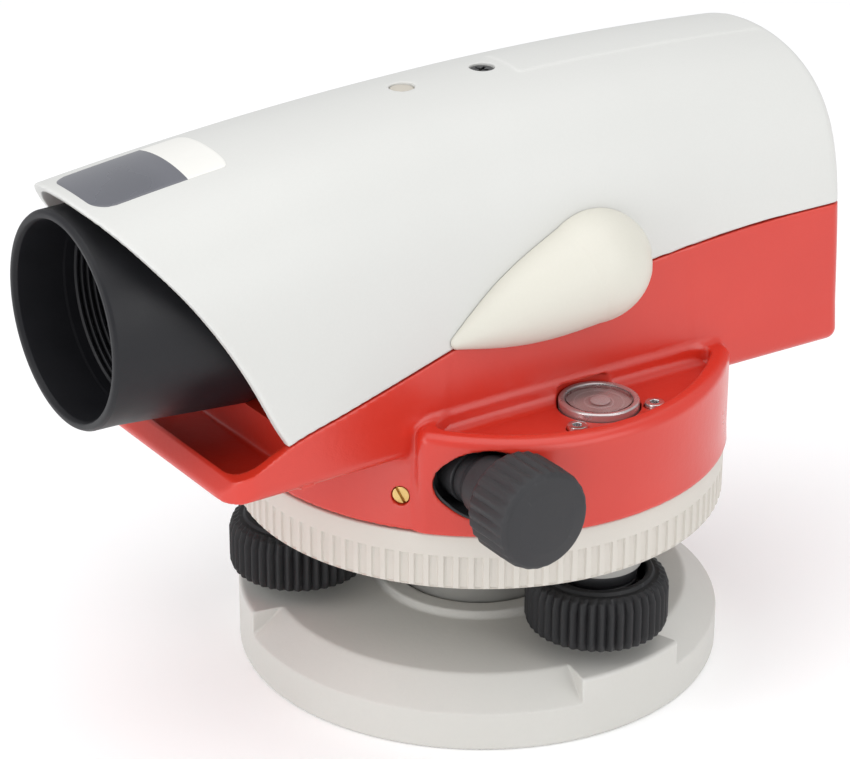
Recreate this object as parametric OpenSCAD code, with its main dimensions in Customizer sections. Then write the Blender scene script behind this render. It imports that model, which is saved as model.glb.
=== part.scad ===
// Automatic level (surveying instrument).
// Frame: origin at the centre of the base plate's underside, on the vertical axis.
// +Z up, telescope objective towards -Y, eyepiece towards +Y,
// circular bubble on the +X side, focusing knob on the -X side. Millimetres.

/* [Base plate] */
// Radius of the base plate
base_r = 60; // [58:0.5:62]
// Height of the base plate at its three raised sectors
base_h = 16.5; // [16:0.5:17]
// Rim height of the plate between the raised sectors
rim_h = 9.8; // [8:0.1:12]
// Wall radius of the 5/8 inch tripod thread
thread_r = 7.94; // [7.8:0.01:8]

/* [Foot screws] */
// Distance of each foot screw from the vertical axis
foot_r = 45; // [44.5:0.1:45.5]
// Direction of the first foot screw
foot_phi = 4; // [0:1:10]
// Radius of the foot screw knobs
foot_knob_r = 17.2; // [16:0.1:17.5]

/* [Horizontal circle] */
// Outer radius of the circle ring
ring_r = 60; // [59:0.5:60]
// Lower edge of the circle ring
ring_z0 = 43.2; // [43:0.1:43.4]
// Upper edge of the circle ring
ring_z1 = 56.9; // [56.5:0.1:57]

/* [Housing] */
// Outer radius of the drum's two side pods
drum_r = 60.5; // [60:0.1:61]
// Height of the pods' outer lip
pod_z = 80.3; // [80:0.1:81]
// Half angle that each pod covers
pod_half = 49.5; // [48:0.5:50]
// Wall thickness of housing and cover
wall = 2.5; // [2.2:0.1:2.8]
// Underside of the telescope body
body_z = 74; // [73.8:0.1:74.2]
// Front end of the telescope body's tray
tray_y = -91.5; // [-92:0.5:-91]
// Rear face of the body
rear_y = 81.5; // [81:0.5:82]

/* [Telescope] */
// Height of the telescope's line of sight
tel_z = 111.4; // [111:0.1:112]
// Outer radius of the lens hood
hood_r = 25; // [24.5:0.1:25]
// Front end of the lens hood
hood_y = -112.5; // [-114:0.5:-111]

/* [Fine drive] */
// Position of the fine drive shaft ahead of the vertical axis
drive_y = -32.5; // [-32.5:0.5:-32.5]
// Height of the fine drive shaft
drive_z = 70; // [69.8:0.1:70.2]
// Radius of the fine drive knobs
drive_knob_r = 11.2; // [10:0.1:12]
// Teeth of the worm wheel
wheel_teeth = 55; // [55]

/* [Focusing] */
// Position of the focusing knob along the telescope
focus_y = -12; // [-12:0.5:-12]
// Radius of the focusing knob
focus_knob_r = 15; // [13:0.5:16]
// Teeth of the focusing pinion
pinion_teeth = 12; // [12]

/* [Hidden] */
$fn = 96;
e = 0.02;
top_z = 149.3;
tag_y = 12;
low_z = 84;
bubble = [43.4, 3.3];
rack_pz = 104;
pin_m = 0.8;
pin_pr = pin_m*pinion_teeth/2;
pin_z = rack_pz + pin_pr;
wheel_pr = wheel_teeth/2;
ny = 14;
nv = 10;

// ---- helpers -------------------------------------------------------------
module tube(ro, ri, z0, z1) {
  difference() {
    translate([0, 0, z0]) cylinder(r = ro, h = z1 - z0);
    translate([0, 0, z0 - 1]) cylinder(r = ri, h = z1 - z0 + 2);
  }
}
module rod(r, z0, z1) translate([0, 0, z0]) cylinder(r = r, h = z1 - z0);
// local +Z becomes row +X, +Y
module along_x(y, z) translate([0, y, z]) rotate([0, 90, 0]) children();
module along_y(x, z) translate([x, 0, z]) rotate([-90, 0, 0]) children();
module foot(i) rotate([0, 0, foot_phi + 120*i]) translate([foot_r, 0, 0]) children();
module sector(a0, a1, r, z0, z1)
  translate([0, 0, z0]) linear_extrude(z1 - z0)
    polygon(concat([[0, 0]], [for (i = [0:12]) let(a = a0 + (a1 - a0)*i/12) r/cos((a1 - a0)/24)*[cos(a), sin(a)]]));

// ---- outer form of the telescope body -------------------------------------
function crown(y) = top_z - 0.00058*pow(y - tag_y, 2);
function half_w(y) = 36 + 0.023*min(101, max(0, y + 20));
// end rounding: how far the skin draws in near the rear face
function end_in(y, o) = o > 0 ? 0 : let(d = max(0, y - (rear_y - 3))) 3 - sqrt(max(0, 9 - d*d));
function prof(y, v, o) =
  let(t = end_in(y, o) + o, w = half_w(y) - t, h = crown(y) - low_z - t)
  [w*(1 - 0.08*v)*sqrt(max(0, 1 - pow(v, 5))), low_z + v*h];
// levels round the arch, closer together near the top
vs = [for (i = [0:nv]) let(s = i/nv) pow(sin(90*s), 0.55)];
// half outline from the bottom corner up to the crown
function half(y, o) = concat(
  let(w = half_w(y) + 0.6 - end_in(y, o) - o)
  [[w - 3, body_z + o], [w - 0.9, body_z + 0.9 + o], [w, body_z + 3 + o]],
  [for (v = vs) prof(y, v, o)]);
function ring_pts(y, o) = let(h = half(y, o), n = len(h)) concat(
  [for (q = h) [q[0], y, q[1]]],
  [for (i = [n - 2:-1:0]) [-h[i][0], y, h[i][1]]]);
function st(o) = concat([for (i = [0:ny - 4]) -118 + (rear_y - 3 + 118)*i/(ny - 4)],
  o > 0 ? [rear_y - o] : [for (i = [1:3]) rear_y - 3 + 3*sin(30*i)]);
module body_form(o = 0) {
  ys = st(o);
  last = len(ys) - 1;
  pts = [for (y = ys) ring_pts(y, o)];
  n = len(pts[0]);
  polyhedron(
    points = [for (r = pts) for (q = r) q],
    faces = concat([[for (j = [n - 1:-1:0]) j]],
      [[for (j = [0:n - 1]) last*n + j]],
      [for (i = [0:last - 1]) for (j = [0:n - 1]) let(k = (j + 1)%n) [i*n + j, i*n + k, (i + 1)*n + k]],
      [for (i = [0:last - 1]) for (j = [0:n - 1]) let(k = (j + 1)%n) [i*n + j, (i + 1)*n + k, (i + 1)*n + j]]),
    convexity = 6);
}
// parting line between cover and housing, seen from the side, as [y, z]
part_line = [[-76.2, 85.3], [-60, 89.8], [-40, 95.4], [-31, 98], [-15, 101.2], [0, 103.8], [24, 107], [50, 109.2], [66, 109.7], [90, 109.7]];
// raked front edge of the cover, from the tip up to the crown
cover_front = [[-76.2, 85.3], [-78.6, 89.6], [-81.2, 95], [-85.5, 103.6], [-90, 111.4], [-94.2, 118], [-98, 123.5], [-102.2, 129], [-105.6, 133.5], [-108.4, 137], [-110.6, 139.2], [-112.8, 141], [-113, 160]];
module side_cut(pts) rotate([90, 0, 90]) translate([0, 0, -80]) linear_extrude(160) polygon(pts);
module cover_zone() side_cut(concat([[90, 160]], [for (i = [len(part_line) - 1:-1:0]) part_line[i]], [for (i = [1:len(cover_front) - 1]) cover_front[i]]));
module housing_zone() side_cut(concat([[90, 70], [tray_y + 1.2, 70], [tray_y + 0.6, 74], [tray_y, 75.4], [tray_y + 2.4, 79.4], [tray_y + 5, 80.6]],
  [for (i = [0:len(part_line) - 1]) part_line[i] - [0, e]]));
// the tray's front corners are rounded in plan
module tray_plan() translate([0, 0, 60]) linear_extrude(60) {
  translate([-50, tray_y + 4]) square([100, 200]);
  translate([-(half_w(-90) - 3.4), tray_y - 1]) square([2*(half_w(-90) - 3.4), 10]);
  for (s = [-1, 1]) translate([s*(half_w(-90) + 0.6 - 4), tray_y + 4]) circle(r = 4);
}
// round tongue of the housing's far wall that carries the focusing shaft
module tongue(o) translate([-60, 0, 0]) rotate([90, 0, 90]) linear_extrude(40) {
  translate([focus_y, pin_z]) circle(r = 9 + o);
  translate([focus_y - 9 - o, 90]) square([18 + 2*o, pin_z - 90]);
}

// ---- base ------------------------------------------------------------------
module base_plate() color([0.84, 0.83, 0.80]) difference() {
  union() {
    rotate_extrude() polygon([[0, 0], [base_r - 1.2, 0], [base_r, 1.2], [base_r, base_h - 0.8], [base_r - 0.8, base_h], [0, base_h]]);
    tube(25.6, 20.8, base_h - 1, base_h + 1.8);
  }
  // sloping sectors between the foot screws
  for (i = [0:2]) intersection() {
    sector(foot_phi + 14.5 + 120*i, foot_phi + 105.5 + 120*i, 70, 5, 30);
    rotate_extrude() polygon([[52, base_h], [base_r, rim_h], [66, rim_h - 5.3], [66, base_h + 4], [52, base_h + 4]]);
  }
  rod(20.8, base_h - 2, base_h + 5);
  rod(11 + e, -1, 20);
  // seats of the foot screw balls, closed from below by the spring plate
  for (i = [0:2]) foot(i) { rod(5.3, -1, 12); rod(4.3, 5, 20); }
  translate([0, 0, -1]) linear_extrude(2.8) plate_plan(1);
  for (i = [0:2]) rotate([0, 0, foot_phi + 60 + 120*i]) translate([18, 0, 0]) rod(1.5, -1, 8);
}
module plate_plan(o) difference() {
  union() {
    circle(r = 22 + o);
    for (i = [0:2]) rotate(foot_phi + 120*i) {
      translate([0, -7 - o]) square([foot_r, 14 + 2*o]);
      translate([foot_r, 0]) circle(r = 7 + o);
    }
  }
  circle(r = 12.6 - o);
}
module thread_insert() color([0.75, 0.62, 0.32]) tube(11, thread_r, 0, 14);
module spring_plate() color([0.7, 0.7, 0.72]) difference() {
  translate([0, 0, 0.7]) linear_extrude(0.9) plate_plan(0);
  for (i = [0:2]) rotate([0, 0, foot_phi + 60 + 120*i]) translate([18, 0, 0]) rod(1.6, -1, 5);
}
module spring_plate_screws() color([0.6, 0.6, 0.62])
  for (i = [0:2]) rotate([0, 0, foot_phi + 60 + 120*i]) translate([18, 0, 0]) { rod(2.6, 0.1, 0.68); rod(1.45, 0.5, 7.5); }

// ---- foot screws --------------------------------------------------------------
module foot_knob(i) color([0.12, 0.12, 0.13]) foot(i) rotate_extrude() polygon([
  [4.25, 21.4], [foot_knob_r - 2.2, 21.4], [foot_knob_r - 0.6, 22.2], [foot_knob_r, 24], [foot_knob_r, 32.5], [foot_knob_r - 0.7, 34.6],
  [foot_knob_r - 2.4, 35.5], [13.4, 35.5], [13.2, 36.2], [12.2, 36.4], [11.6, 36], [11.6, 34], [13, 33], [13, 27.5], [4.25, 27.5]]);
module foot_spindle(i) color([0.7, 0.7, 0.72]) foot(i) {
  rod(4.2, 17.2, 41);
  rod(3.6, 6.6, 17.4);
  rod(5.4, 19.6, 21.38);
  translate([0, 0, 6.6]) sphere(r = 4.8, $fn = 48);
}
module foot_knob_a() foot_knob(0);
module foot_knob_b() foot_knob(1);
module foot_knob_c() foot_knob(2);
module foot_spindle_a() foot_spindle(0);
module foot_spindle_b() foot_spindle(1);
module foot_spindle_c() foot_spindle(2);

// ---- tribrach --------------------------------------------------------------------
module tribrach_body() color([0.72, 0.72, 0.71]) difference() {
  union() {
    rod(20.2, 17.6, 40);
    rod(27, 38.8, 42.7);
    rod(18, 42, 50);
    for (i = [0:2]) {
      rotate([0, 0, foot_phi + 120*i]) translate([0, -8, 39]) cube([foot_r, 16, 3.5]);
      foot(i) rod(10.5, 38.6, 42.8);
    }
  }
  rod(11 + e, 10, 60);
  rod(13, 10, 23.6);
  for (i = [0:2]) foot(i) rod(6.5 + e, 30, 50);
  for (i = [0:2]) rotate([0, 0, foot_phi - 49 + 120*i]) translate([0, 0, 34.6]) rotate([0, 90, 0]) rod(1.4, 15, 24);
}
module foot_bushes() color([0.78, 0.62, 0.3]) for (i = [0:2]) foot(i) tube(6.5, 4.28, 36.4, 42.8);
module foot_sleeves() color([0.1, 0.1, 0.11]) for (i = [0:2]) foot(i) difference() {
  union() { rod(9.6, 31.6, 38.58); rod(10.4, 31.6, 32.4); }
  rod(7.4, 30, 40);
}
module axis_bush() color([0.78, 0.62, 0.3]) tube(11, 8.05, 24, 50);
module tribrach_screws() color([0.82, 0.65, 0.3])
  for (i = [0:2]) rotate([0, 0, foot_phi - 49 + 120*i]) translate([0, 0, 34.6]) rotate([0, 90, 0]) difference() {
    union() { rod(1.35, 16, 20.25); rod(2.1, 20.25, 21.5); }
    translate([-0.25, -3, 21]) cube([0.5, 6, 2]);
  }

// ---- horizontal circle ----------------------------------------------------------
module circle_ring() color([0.84, 0.81, 0.77]) rotate_extrude() polygon([
  [18.3, 44.6], [56, 44.6], [57, ring_z0], [ring_r - 0.6, ring_z0], [ring_r - 0.1, ring_z0 + 0.5], [ring_r, 52], [ring_r, ring_z1 - 0.5], [ring_r - 0.5, ring_z1], [56, ring_z1],
  [56, 53.6], [50, 53.6], [50, 47.6], [18.3, 47.6]]);
module graduated_circle() color([0.95, 0.95, 0.93]) tube(55.9, 42, 53.62, 54.8);

// ---- worm wheel, clutched to the tribrach ----------------------------------------
module worm_wheel() color([0.8, 0.65, 0.32]) difference() {
  union() {
    rod(12, 51, 72);
    translate([0, 0, 68]) linear_extrude(4) wheel_plan();
  }
  rod(8.4, 40, 80);
  for (i = [0:5]) rotate([0, 0, 60*i + 30]) translate([19, 0, 0]) rod(4, 60, 80);
}
// the gap between two teeth faces the worm
module wheel_plan() polygon([for (i = [0:wheel_teeth - 1]) for (k = [[-0.5, -0.95], [-0.22, 1.0], [0.22, 1.0], [0.5, -0.95]])
  let(r = wheel_pr + k[1]*(k[1] > 0 ? 1 : 1.3), p = 360/wheel_teeth, a = -90 + (i + 0.5)*p + p*0.5*(k[1] > 0 ? k[0]*0.9 : k[0]*1.16))
  r*[cos(a), sin(a)]]);
module clutch_washer() color([0.7, 0.7, 0.72]) tube(16, 9, 50.15, 50.85);

// ---- main housing -----------------------------------------------------------------
module drum_form() {
  // low drum under the body, drawing in as it rises
  rotate_extrude() polygon([[0, 57.2], [60, 57.2], [56.6, body_z + 1], [0, body_z + 1]]);
  for (s = [0, 180]) intersection() {
    rotate_extrude() polygon([[0, 57.2], [drum_r - 0.4, 57.2], [drum_r, 57.6], [drum_r, pod_z - 2.4], [drum_r - 0.7, pod_z - 0.7], [drum_r - 2.2, pod_z], [0, pod_z]]);
    sector(s - pod_half, s + pod_half, 75, 50, 90);
  }
}
module drum_room() {
  // room inside the low drum and under the pods' decks
  rod(54, 60, body_z + 0.01);
  rod(50.5, 60, body_z - 0.2);
  for (s = [0, 180]) intersection() {
    rod(57.6, 60, 75.2);
    sector(s - pod_half + 3, s + pod_half - 3, 70, 50, 90);
  }
}
module drive_bosses() for (s = [-1, 1]) intersection() {
  along_x(drive_y, drive_z) rod(10.6, s > 0 ? 35 : -60, s > 0 ? 60 : -35);
  rod(drum_r - 0.5, 57.3, 90);
}
module main_housing() color([0.86, 0.24, 0.19]) difference() {
  union() {
    difference() {
      union() {
        intersection() { body_form(0); housing_zone(); tray_plan(); }
        intersection() { body_form(0); tongue(0); }
        drum_form();
        // fillet strip between body wall and pod deck
        intersection() {
          rotate([90, 0, 0]) translate([0, 0, -60]) linear_extrude(120) polygon([[0, 76], [39.8, 76], [39.8, 78.2], [36.2, 83.2], [0, 83.2]]);
          sector(-pod_half, pod_half, 57.5, 70, 90);
        }
      }
      // inside of the body
      intersection() {
        body_form(wall);
        translate([-50, tray_y + 3.4, body_z + wall]) cube([100, 200, 100]);
      }
      difference() {
        drum_room();
        drive_bosses();
        rod(16, 50, 66.5);
      }
      rod(13, 50, 73);
      // pocket in the +X pod's deck
      difference() {
        intersection() { rod(56.4, 78.2, 90); sector(-pod_half + 3.4, pod_half - 3.4, 60, 70, 90); }
        translate([-70, -70, 70]) cube([109.8, 140, 20]);
        rotate([90, 0, 0]) translate([0, 0, -60]) linear_extrude(120) polygon([[0, 76], [39.8, 76], [39.8, 78.2], [36.2, 83.2], [0, 83.2]]);
      }
    }
    // bulkhead round the lens hood
    intersection() {
      translate([-50, -73, 70]) cube([100, 2.6, 33]);
      union() {
        body_form(wall + 0.15);
        intersection() { body_form(0.4); housing_zone(); }
      }
    }
    // centre of the floor, carrying the vertical axis
    rod(17, 73, 78);
    for (a = [0:60:179]) rotate([0, 0, a]) translate([-56, -3, 73.2]) cube([112, 6, 1.4]);
    // saddles under the telescope tube
    for (y = [-46, -24]) translate([-11, y, 75]) cube([22, 5, 20]);
    // seat of the bubble, thick enough to close the body wall behind it
    intersection() {
      translate([bubble[0], bubble[1], 0]) rod(12.4, 73.4, 86.5);
      union() { body_form(0.2); rod(57, 70, 78.2); }
    }
  }
  // bores
  rod(8, 70, 90);
  along_y(0, tel_z) { rod(25.3, -80, -60); rod(19.05, -60, 0); }
  for (s = [-1, 1]) along_x(drive_y, drive_z) { rod(8.7, s > 0 ? 44.5 : -70, s > 0 ? 70 : -44.5); rod(5 + e, s > 0 ? 34 : -50, s > 0 ? 50 : -34); }
  along_x(focus_y, pin_z) rod(6 + e, -50, -25);
  // room above the worm in the body's floor
  along_x(drive_y, drive_z) rod(6.5, -9, 9);
  along_y(0, tel_z) rod(13 + e, 70, 90);
  translate([bubble[0], bubble[1], 0]) rod(9.9, 74.6, 88);
  for (d = [[51, -8.6], [51, 13.8]]) translate([d[0], d[1], 0]) rod(2.5, 76, 82);
  // reading window over the graduated circle, in the drum's rear wall
  translate([-7.5, 48, 61]) cube([15, 20, 8]);
  translate([-7.5, 44, 55]) cube([15, 11, 7]);
  for (a = [-53, -127]) rotate([0, 0, a]) translate([0, 0, 65]) rotate([0, 90, 0]) rod(2.2, 50, 62);
}
module top_cover() color([0.89, 0.89, 0.87]) difference() {
  intersection() { body_form(0); cover_zone(); }
  body_form(wall);
  tongue(0.2);
  along_y(0, tel_z) rod(13.3, 70, 90);
  translate([0, -0.4, 0]) rod(3, 135, 160);
  translate([0, -22.8, 0]) rod(3, 135, 160);
}
module bump(o) hull() {
  translate([35, 6, 111.5]) scale([13 - o, 15.4 - o, 16 - o]/10) sphere(r = 10, $fn = 32);
  translate([35.2, -29.5, 100.4]) sphere(r = max(0.4, 1.9 - o), $fn = 12);
}
module prism_housing() color([0.89, 0.88, 0.81]) difference() {
  bump(0);
  bump(1.8);
  translate([0, -60, 60]) cube([36.9, 120, 100]);
  // openings above the bubble and towards the observer
  translate([36, 0, 90]) cube([4.2, 9, 9]);
  translate([38.2, 12, 105.5]) cube([5, 20, 7]);
}
module bubble_prism() color([0.8, 0.88, 0.9]) translate([38, 0, 0]) rotate([90, 0, 90]) linear_extrude(5)
  polygon([[2, 103.4], [9, 103.4], [9, 110.4], [8.2, 111.2], [2, 105.4]]);
module cover_plug() color([0.74, 0.71, 0.66]) translate([0, -22.8, 0]) { rod(2.9, crown(-22.8) - 2.4, crown(-22.8) - 0.4); }
module cover_screw() color([0.25, 0.25, 0.26]) translate([0, -0.4, 0]) difference() {
  union() { rod(2.8, crown(0) - 2.6, crown(0) - 0.6); rod(1.45, 136, crown(0) - 2.5); }
  for (a = [0, 90]) rotate([0, 0, a]) translate([-1.6, -0.35, crown(0) - 1.7]) cube([3.2, 0.7, 3]);
}
module housing_screws() color([0.82, 0.65, 0.3]) for (a = [-53, -127]) rotate([0, 0, a]) translate([0, 0, 65]) rotate([0, 90, 0]) difference() {
  rod(2.1, 51, 58.2);
  rotate([0, 0, 30]) translate([-0.28, -3, 57.5]) cube([0.56, 6, 2]);
}
module circle_window() color([0.8, 0.86, 0.88]) translate([-7.3, 55, 61.2]) cube([14.6, 2, 7.6]);

// ---- circular bubble -----------------------------------------------------------
module bubble_case() color([0.72, 0.68, 0.68]) translate([bubble[0], bubble[1], 0]) difference() {
  rod(9.5, 74.7, 80);
  rod(8, 76.4, 82);
}
module bubble_vial() color([0.8, 0.75, 0.75]) translate([bubble[0], bubble[1], 0]) rod(7.96, 76.5, 79.7);
module bubble_screws() color([0.8, 0.8, 0.8]) for (d = [[51, -8.6], [51, 13.8]]) translate([d[0], d[1], 0]) difference() {
  rod(2.35, 76.1, 79.2);
  translate([0, 0, 78]) cylinder(r = 1.15, h = 3, $fn = 6);
}

// ---- vertical axis ---------------------------------------------------------------
module vertical_axis() color([0.7, 0.7, 0.72]) { rod(7.98, 18.8, 78); rod(11, 77.98, 79.5); }
module axis_nut() color([0.6, 0.6, 0.62]) tube(12, 8, 19, 23.3);

// ---- telescope -----------------------------------------------------------------
module lens_hood() color([0.1, 0.1, 0.11]) along_y(0, tel_z) rotate_extrude() polygon([
  [22.5, hood_y + 0.6], [23, hood_y], [hood_r - 0.5, hood_y], [hood_r, hood_y + 0.6], [hood_r, -68], [22.4, -68],
  [22.4, -80.6], [20.4, -80.6], [20.4, -84], [21.6, -84], [21.6, -90], [22.5, -90]]);
module telescope_tube() color([0.25, 0.25, 0.26]) difference() {
  along_y(0, tel_z) rotate_extrude() polygon([[20.6, -80], [22.3, -80], [22.3, -52], [19, -49], [19, -4], [16.8, -4], [16.8, -49], [20.6, -52]]);
  translate([-30, -56, 99.6]) cube([16, 44, 4.2]);
}
module objective_cell() color([0.16, 0.16, 0.17]) along_y(0, tel_z) rotate_extrude() polygon([
  [18.5, -79.5], [20.5, -79.5], [20.5, -60], [16.5, -60], [16.5, -67.5], [18.5, -67.5]]);
module objective_lens() color([0.55, 0.65, 0.75]) along_y(0, tel_z) rotate_extrude() polygon(concat(
  [for (i = [0:12]) let(r = 18.4*i/12) [r, -77.6 + r*r/120]], [[18.4, -67.6], [0, -67.6]]));
module objective_ring() color([0.1, 0.1, 0.11]) along_y(0, tel_z) tube(18.4, 16.8, -79.4, -78);
module focus_carrier() color([0.75, 0.75, 0.76]) {
  along_y(0, tel_z) tube(16.7, 13.5, -44, -24);
  difference() {
    translate([-21, -40, 100.2]) cube([6.5, 12, 3]);
    along_y(0, tel_z) rod(15, -60, 0);
  }
  translate([-23.8, 0, 0]) rotate([90, 0, 90]) linear_extrude(3.8)
    polygon(concat([[5, 100.2]], rack_pts(), [[-37, 100.2]]));
}
// rack teeth: a gap faces the pinion's lowest tooth
function rack_pts() = let(p = PI*pin_m) [for (i = [6:-1:-9]) for (k = [[0.5, -0.9], [0.2, 0.7], [-0.2, 0.7], [-0.5, -0.9]])
  [focus_y + (i + 0.5)*p + p*k[0]*(k[1] > 0 ? 0.46 : 0.6), rack_pz + k[1]]];
module focus_lens() color([0.6, 0.7, 0.8]) along_y(0, tel_z) rotate_extrude() polygon(concat(
  [for (i = [0:8]) let(r = 13.46*i/8) [r, -34 - r*r/110]], [for (i = [8:-1:0]) let(r = 13.46*i/8) [r, -31 + r*r/110]]));
module focus_pinion() color([0.75, 0.6, 0.3]) {
  along_x(focus_y, pin_z) { translate([0, 0, -23.9]) linear_extrude(4) pinion_plan(); rod(2.5, -54, -23.8); }
}
module pinion_plan() polygon([for (i = [0:pinion_teeth - 1]) for (k = [[-0.62, -1], [-0.36, 0.75], [0.36, 0.75], [0.62, -1]])
  let(r = pin_pr + k[1], p = 360/pinion_teeth, a = i*p + p*0.5*k[0]) r*[cos(a), sin(a)]]);
module focus_bush() color([0.75, 0.6, 0.3]) along_x(focus_y, pin_z) { tube(6, 2.56, -38.4, -29); tube(7.4, 2.56, -39.2, -37.6); }
module focus_knob() color([0.12, 0.12, 0.13]) along_x(focus_y, pin_z) rotate_extrude() polygon([
  [2.5, -41], [focus_knob_r - 1.5, -41], [focus_knob_r, -42.5], [focus_knob_r - 0.6, -54], [focus_knob_r - 2.4, -56], [0, -56.6], [0, -54.02], [2.5, -54.02]]);

// ---- compensator -----------------------------------------------------------------
module compensator_frame() color([0.6, 0.6, 0.62]) difference() {
  union() {
    translate([-24, 4, 78.05]) cube([48, 40, 3]);
    for (s = [-1, 1]) translate([s > 0 ? 20 : -23, 18.6, 80]) cube([3, 15.4, 54]);
    translate([-23, -5, 131]) cube([46, 47, 3]);
    // hangers of the two fixed prisms
    for (y = [6.6, 34.4]) translate([-9, y, 119.02]) cube([18, 7, 12.5]);
    translate([0, -0.4, 0]) rod(4, 133, 145);
  }
  translate([0, -0.4, 0]) rod(1.5, 130, 160);
  rod(11.4, 70, 80);
}
module suspension_tapes() color([0.8, 0.8, 0.82]) for (x = [-11, 11]) for (y = [19, 29]) translate([x - 1, y - 0.1, 122.4]) cube([2, 0.2, 8.58]);
module pendulum() color([0.7, 0.7, 0.72]) {
  for (s = [-1, 1]) translate([s > 0 ? 10 : -14, 16, 98]) cube([4, 16, 24]);
  translate([-14, 16, 96]) cube([28, 16, 3]);
  translate([0, 24, 0]) { rod(1.6, 86, 97); rod(6, 86, 88.4); }
}
module pendulum_prism() color([0.75, 0.85, 0.9]) translate([-9.9, 0, 0]) rotate([90, 0, 90]) linear_extrude(19.8)
  polygon([[17, 99.1], [31, 99.1], [31, 106], [24, 113], [17, 106]]);
module fixed_prisms() color([0.75, 0.85, 0.9]) for (s = [0, 1]) translate([-9, 24, 0]) mirror([0, s, 0]) rotate([90, 0, 90]) linear_extrude(18)
  polygon([[-18, 104], [-9.5, 104], [-9.5, 119], [-18, 119]]);
module damper_cylinder() color([0.55, 0.55, 0.57]) translate([0, 24, 0]) difference() { rod(9.4, 81.1, 93); rod(6.9, 83, 100); }

// ---- eyepiece ------------------------------------------------------------------
module eyepiece_tube() color([0.14, 0.14, 0.15]) along_y(0, tel_z) { tube(13, 11, 50, 87); tube(17, 12.98, 76.2, 78.9); }
module reticle() color([0.8, 0.88, 0.9]) along_y(0, tel_z) rod(10.96, 54, 56);
module eyepiece_cell() color([0.16, 0.16, 0.17]) along_y(0, tel_z) tube(10.9, 8, 62, 88);
module eyepiece_lenses() color([0.6, 0.7, 0.8]) along_y(0, tel_z) for (q = [[66, 71], [82, 86.5]]) rotate_extrude() polygon(concat(
  [for (i = [0:8]) let(r = 7.96*i/8) [r, q[0] + r*r/60]], [for (i = [8:-1:0]) let(r = 7.96*i/8) [r, q[1] - r*r/60]]));
module dioptre_ring() color([0.12, 0.12, 0.13]) along_y(0, tel_z) rotate_extrude() polygon([
  [13.3, 82.4], [15.6, 82.4], [16, 83], [15.6, 90.4], [15, 91], [9, 91], [9, 89.8], [13.3, 89.8]]);
module eyecup() color([0.08, 0.08, 0.09]) along_y(0, tel_z) rotate_extrude() polygon([[9, 91.02], [14.6, 91.02], [14, 95], [12.6, 95], [12, 92.6], [9, 92.4]]);

// ---- fine drive -----------------------------------------------------------------
module drive_bushes() color([0.75, 0.6, 0.3]) along_x(drive_y, drive_z) { tube(5, 3.06, 35, 44.4); tube(5, 3.06, -44.4, -35); }
module drive_shaft() color([0.7, 0.7, 0.72]) along_x(drive_y, drive_z) { rod(3, -66, 66); }
module drive_worm() color([0.75, 0.6, 0.3]) along_x(drive_y, drive_z) difference() {
  translate([0, 0, -6]) linear_extrude(height = 12, twist = -360*12/PI, slices = 48, convexity = 8, $fn = 24) rotate(-360*12/PI/2) worm_plan();
  rod(3.02, -10, 10);
}
// one thread start; its crest faces the wheel at mid length
module worm_plan() polygon([for (a = [-180:15:165]) let(q = abs(a), r = q < 34 ? 5.95 : q < 102 ? 5.95 - 2.1*(q - 34)/68 : 3.85) r*[cos(a + 90), sin(a + 90)]]);
module drive_knob_plan() rotate_extrude() polygon([[0, 44.8], [6.8, 44.8], [6.8, 57.4], [8.6, 58], [drive_knob_r - 0.3, 58.2], [drive_knob_r, 59], [drive_knob_r - 0.2, 70.6], [drive_knob_r - 1.4, 72.2], [0, 73]]);
module drive_knobs() color([0.14, 0.14, 0.15]) along_x(drive_y, drive_z) for (s = [0, 1]) mirror([0, 0, s]) difference() {
  drive_knob_plan();
  rod(3.01, 40, 66.05);
}

base_plate();
thread_insert();
spring_plate();
spring_plate_screws();
foot_knob_a();
foot_spindle_a();
foot_knob_b();
foot_spindle_b();
foot_knob_c();
foot_spindle_c();
tribrach_body();
foot_bushes();
foot_sleeves();
axis_bush();
tribrach_screws();
circle_ring();
graduated_circle();
worm_wheel();
clutch_washer();
vertical_axis();
axis_nut();
main_housing();
top_cover();
prism_housing();
bubble_prism();
cover_plug();
cover_screw();
bubble_case();
bubble_vial();
bubble_screws();
housing_screws();
lens_hood();
objective_cell();
objective_lens();
objective_ring();
telescope_tube();
compensator_frame();
fixed_prisms();
suspension_tapes();
damper_cylinder();
drive_bushes();
focus_bush();
eyepiece_tube();
reticle();
circle_window();
drive_shaft();
drive_worm();
drive_knobs();
focus_knob();
focus_pinion();
focus_carrier();
focus_lens();
dioptre_ring();
eyecup();
eyepiece_cell();
eyepiece_lenses();
pendulum();
pendulum_prism();
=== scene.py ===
import math

import bpy
import numpy as np
from mathutils import Matrix, Vector


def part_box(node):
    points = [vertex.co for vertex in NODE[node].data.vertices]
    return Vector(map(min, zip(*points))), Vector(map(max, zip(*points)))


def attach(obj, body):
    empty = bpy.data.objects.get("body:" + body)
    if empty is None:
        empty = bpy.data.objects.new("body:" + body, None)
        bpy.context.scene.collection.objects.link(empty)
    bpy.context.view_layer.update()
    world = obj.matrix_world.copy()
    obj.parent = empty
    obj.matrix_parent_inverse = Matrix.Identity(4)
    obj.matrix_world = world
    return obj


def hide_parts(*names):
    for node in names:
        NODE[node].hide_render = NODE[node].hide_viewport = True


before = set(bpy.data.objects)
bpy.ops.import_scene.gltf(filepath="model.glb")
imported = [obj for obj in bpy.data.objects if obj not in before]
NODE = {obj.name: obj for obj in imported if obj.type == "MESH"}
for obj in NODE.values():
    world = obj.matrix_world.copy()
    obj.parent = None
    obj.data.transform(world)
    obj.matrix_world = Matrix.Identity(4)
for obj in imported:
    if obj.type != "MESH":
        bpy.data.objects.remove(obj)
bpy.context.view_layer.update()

MM = 0.001


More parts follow.
